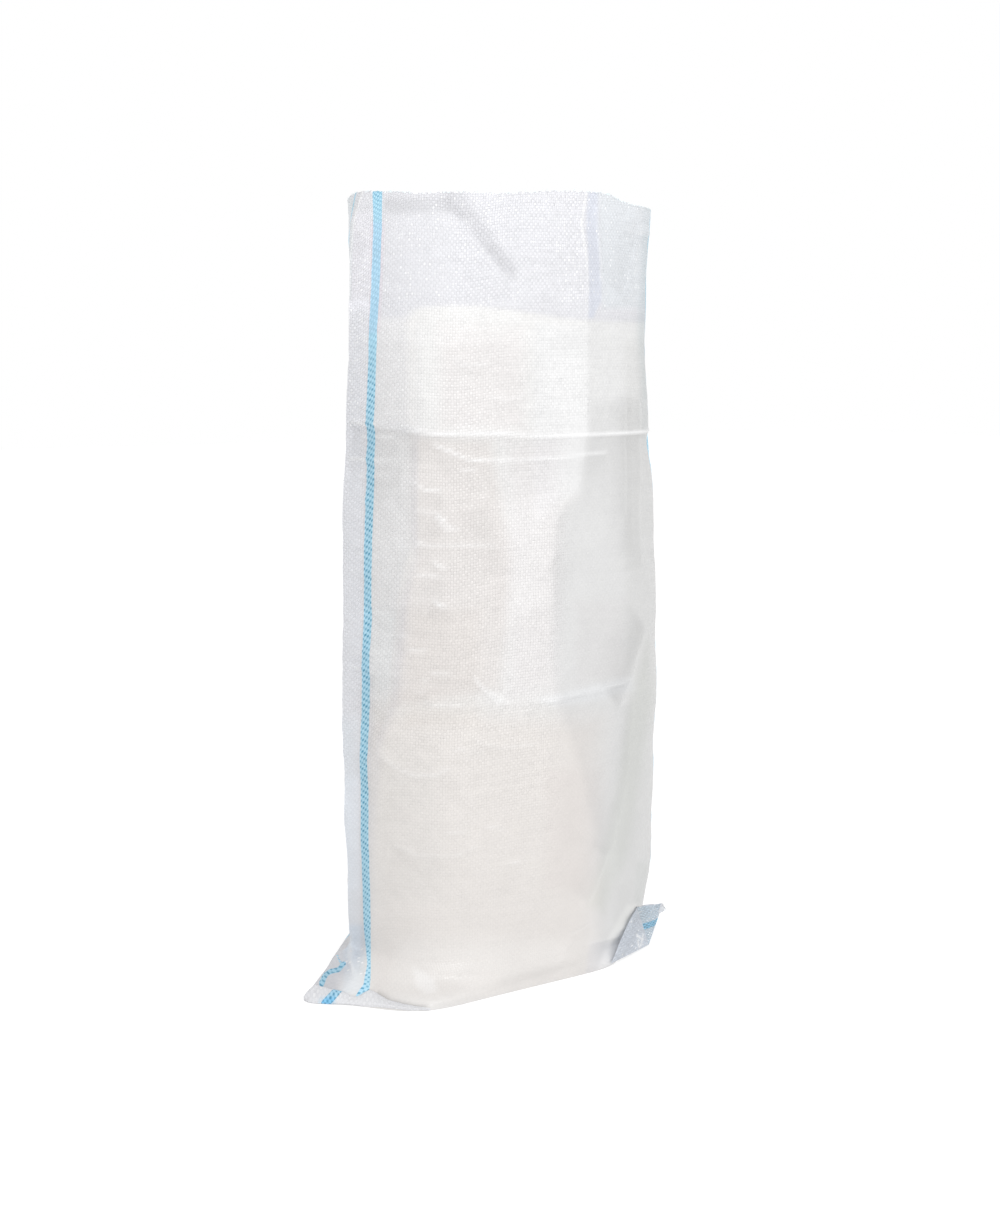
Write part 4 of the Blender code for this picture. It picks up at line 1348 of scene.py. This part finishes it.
def woven_material():
    """Flat tapes over and under each other, with the blue warp tapes of the stripes."""
    n = Nodes("woven polypropylene")
    warp, weft = n.tape_uv()
    iu, iv = n.math("FLOOR", warp), n.math("FLOOR", weft)
    fu, fv = n.math("FRACT", warp), n.math("FRACT", weft)
    over = n.math("FLOORED_MODULO", n.plus(iu, iv), 2.0)
    # 0 in the middle of a tape, 1 at its edges
    xu = n.math("ABSOLUTE", n.times_plus(fu, 2.0, -1.0))
    xv = n.math("ABSOLUTE", n.times_plus(fv, 2.0, -1.0))
    warp_float = n.times(n.minus(1.0, n.math("POWER", xv, TAPE_SAG)),
                         n.minus(1.0, n.math("POWER", xu, TAPE_SQUARENESS)))
    weft_float = n.times(n.minus(1.0, n.math("POWER", xu, TAPE_SAG)),
                         n.minus(1.0, n.math("POWER", xv, TAPE_SQUARENESS)))
    height = n.plus(n.times(warp_float, over), n.times(weft_float, n.minus(1.0, over)))
    # Each float of a tape lies at a tilt of its own
    chance = n.random(iu, iv)
    tilt = n.times(n.minus(chance, 0.5), n.minus(fu, 0.5))
    height = n.times_plus(tilt, TAPE_TILT, height)

    # The stripe, with dark spots where its tapes pass under the weft
    stripe = n.map(n.attribute("outside"), -STRIPE_EDGE, STRIPE_EDGE, 1.0, 0.0)
    dark_spot = n.times(n.minus(1.0, over), n.map(n.random(iv, iu), *SPOT_CHANCE))
    dark_spot = n.times(dark_spot, n.map(xv, *SPOT_ALONG))
    dark_spot = n.times(dark_spot, n.map(xu, *SPOT_ACROSS))
    # High up, below the mouth, the weft tapes hardly show through
    z = n.split(n.place())[2]
    plain = n.times(n.map(z, *WEFT_HIDES), n.map(z, *WEFT_SHOWS))
    blue = n.mix(n.times(dark_spot, n.minus(1.0, plain)), BLUE, BLUE_UNDER)

    filled, whiten, weave = n.attribute("filled"), n.attribute("whiten"), n.attribute("weave")
    tint = n.attribute("tint", "Color")
    blue = n.vectors("MULTIPLY", blue, 1, tint)
    white = n.vectors("MULTIPLY", n.mix(filled, HOLLOW_WHITE, FILLED_WHITE), 1, tint)
    # Whitened along creases, folds, glints and streaks: partly pressed white and partly a painted
    # highlight
    white = n.mix(n.times(whiten, PRESSED_WHITE_AND_HIGHLIGHT_STRENGTH), white, PRESSED_WHITE_AND_HIGHLIGHT)
    # Specks: painted glints on single tapes
    speck = n.math("LESS_THAN", n.random(n.plus(iu, SPECK_OFFSET), iv),
                   n.times(n.attribute("specks"), SPECK_SHARE))
    speck = n.times(n.times(speck, n.map(xu, *SPECK_ACROSS)), n.map(xv, *SPECK_ALONG))
    white = n.mix(n.times(speck, SPECK_STRENGTH), white, SPECK_WHITE)

    # The tone: tapes over and under, partly pattern and partly painted sheen, each float's own,
    # dark corners between them, and wrinkles painted lighter and darker as their light and shade
    corner = n.times(n.map(xu, *CORNER), n.map(xv, *CORNER))
    tone = n.times(n.minus(over, 0.5), n.map(filled, *OVER_TONE))
    tone = n.times_plus(n.minus(chance, 0.5), TAPE_TONE, tone)
    tone = n.times_plus(corner, CORNER_TONE, tone)
    mottle = n.map(n.noise(*MOTTLE_NOISE), *MOTTLE_TONE)
    wrinkles = n.noise(*WRINKLE_NOISE, n.vectors("MULTIPLY", n.place(), 1, WRINKLE_STRETCH))
    tone = n.plus(tone, n.map(wrinkles, *WRINKLE_TONE))
    # Deep weave shades itself, so where the tapes lie flat the tone is lower instead
    level = n.times_plus(weave, LEVEL_SLOPE, LEVEL_BASE)
    tone = n.plus(n.times_plus(tone, weave, level), mottle)
    colour = n.vectors("SCALE", n.mix(stripe, white, blue), "Scale", tone)
    rough = n.map(n.random(iu, n.plus(iv, ROUGH_OFFSET)), *WOVEN_ROUGHNESS)
    normal = n.bump(n.times(n.times_plus(wrinkles, WRINKLE_BUMP, height), weave), WEAVE_BUMP)
    n.look(colour, rough, normal)

    # Some of the light passes through, more of it where the sack is hollow
    through = n.tree.nodes.new("ShaderNodeBsdfTranslucent")
    n.put(through.inputs["Color"], colour)
    n.put(through.inputs["Normal"], normal)
    blend = n.tree.nodes.new("ShaderNodeMixShader")
    n.put(blend.inputs[0], n.map(filled, *LIGHT_THROUGH))
    n.put(blend.inputs[1], n.shader.outputs[0])
    n.put(blend.inputs[2], through.outputs[0])
    n.put(n.output.inputs["Surface"], blend.outputs[0])
    return n.material


def tape_end_material():
    """Single cut tapes and fibres: white, some with a pale green-blue glint."""
    n = Nodes("tape ends")
    streak = n.map(n.noise(*STREAK_NOISE), *STREAK_RANGE)
    colour = n.mix(n.attribute("whiten"), n.mix(streak, END_WHITE, END_GLINT), FIBRE_WHITE)
    return n.look(colour, n.map(streak, *END_ROUGHNESS), n.bump(streak, END_BUMP))


def cement_material():
    """Dry pale powder with soft lumps and darker grains."""
    n = Nodes("cement powder")
    soft_lumps, grains, clouds = [n.noise(*noise) for noise in (LUMP_NOISE, GRAIN_NOISE,
                                                                CLOUD_NOISE)]
    colour = n.mix(n.map(clouds, *CLOUD_RANGE), POWDER_DULL, POWDER_PALE)
    colour = n.mix(n.map(soft_lumps, *LUMP_RANGE), colour, POWDER_LUMP)
    colour = n.mix(n.map(grains, *GRAIN_RANGE), colour, POWDER_DARK_GRAIN)
    height = n.plus(soft_lumps, n.times(grains, GRAIN_BUMP))
    return n.look(colour, n.map(grains, *POWDER_ROUGHNESS), n.bump(height, POWDER_BUMP))


def thread_material():
    """Twisted white sewing thread: its strands as slanting ribs, with painted shade in the grooves.
    """
    n = Nodes("sewing thread")
    x, y, _ = n.split(n.place())
    slant = n.times(n.plus(x, n.times(y, RIB_SLANT)), RIB_SCALE)
    ribs = n.map(n.math("SINE", slant), -1.0, 1.0)
    fuzz = n.noise(*FUZZ_NOISE)
    colour = n.mix(ribs, THREAD_GROOVE, THREAD_RIB)
    colour = n.mix(n.map(fuzz, *FUZZ_RANGE), colour, THREAD_FUZZ)
    normal = n.bump(n.plus(ribs, fuzz), THREAD_BUMP)
    return n.look(colour, n.map(fuzz, *THREAD_ROUGHNESS), normal)


def floor_material():
    n = Nodes("pale floor")
    n.shader.inputs["Emission Color"].default_value = (1, 1, 1, 1)
    n.shader.inputs["Emission Strength"].default_value = FLOOR_GLOW
    tone = n.map(n.noise(FLOOR_CLOUDS), *FLOOR_RANGE)
    return n.look(n.mix(tone, FLOOR_DARK, FLOOR_PALE), FLOOR_ROUGHNESS)


# Stage and light

def make_stage():
    mesh = bpy.data.meshes.new("studio_floor")
    far = FLOOR_REACH
    corners = [(-far, -far, 0), (far, -far, 0), (far, far, 0), (-far, far, 0)]
    mesh.from_pydata(corners, [], [(0, 1, 2, 3)])
    mesh.materials.append(floor_material())
    floor = bpy.data.objects.new("studio_floor", mesh)
    floor.location.z = -FLOOR_DROP
    bpy.context.scene.collection.objects.link(floor)
    floor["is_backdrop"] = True


def area_light(name, azimuth, elevation, distance, size, power):
    """A soft square light that looks at the sack's middle."""
    a, e = math.radians(azimuth), math.radians(elevation)
    data = bpy.data.lights.new(name, "AREA")
    data.energy = power
    data.size = size
    light = bpy.data.objects.new(name, data)
    bpy.context.scene.collection.objects.link(light)
    away = Vector((math.sin(a) * math.cos(e), -math.cos(a) * math.cos(e), math.sin(e)))
    light.location = Vector((0, 0, RIM_HEIGHT / 2)) + away * distance
    light.rotation_mode = "QUATERNION"
    light.rotation_quaternion = (-away).to_track_quat("-Z", "Y")


def light_studio():
    world = bpy.data.worlds.new("white studio")
    bpy.context.scene.world = world
    world.use_nodes = True
    sky = world.node_tree.nodes["Background"]
    sky.inputs["Color"].default_value = (1.0, 1.0, 1.0, 1)
    sky.inputs["Strength"].default_value = 1.0
    area_light("key", **KEY_LIGHT)
    bpy.context.scene.view_settings.view_transform = "Standard"


def write_sizes():
    boxes = [[list(corner) for corner in box] for box in (CAD_BOX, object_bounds())]


def build():
    make_camera()
    rng = np.random.default_rng(SEED)
    cloth = Cloth()
    woven = woven_material()
    sack = build_wall(cloth, woven, rng)
    cloth.measure()
    extra = [build_base(cloth, woven), build_hem(cloth, woven), *build_right_ear(cloth, woven, rng),
             build_rim_ends(cloth, tape_end_material(), rng)]
    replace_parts(sack, "woven_sack")
    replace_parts(build_cement(cloth, cement_material(), rng), "cement_fill")
    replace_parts(build_stitches(thread_material()), "hem_thread")
    make_stage()
    light_studio()
    write_sizes()


build()
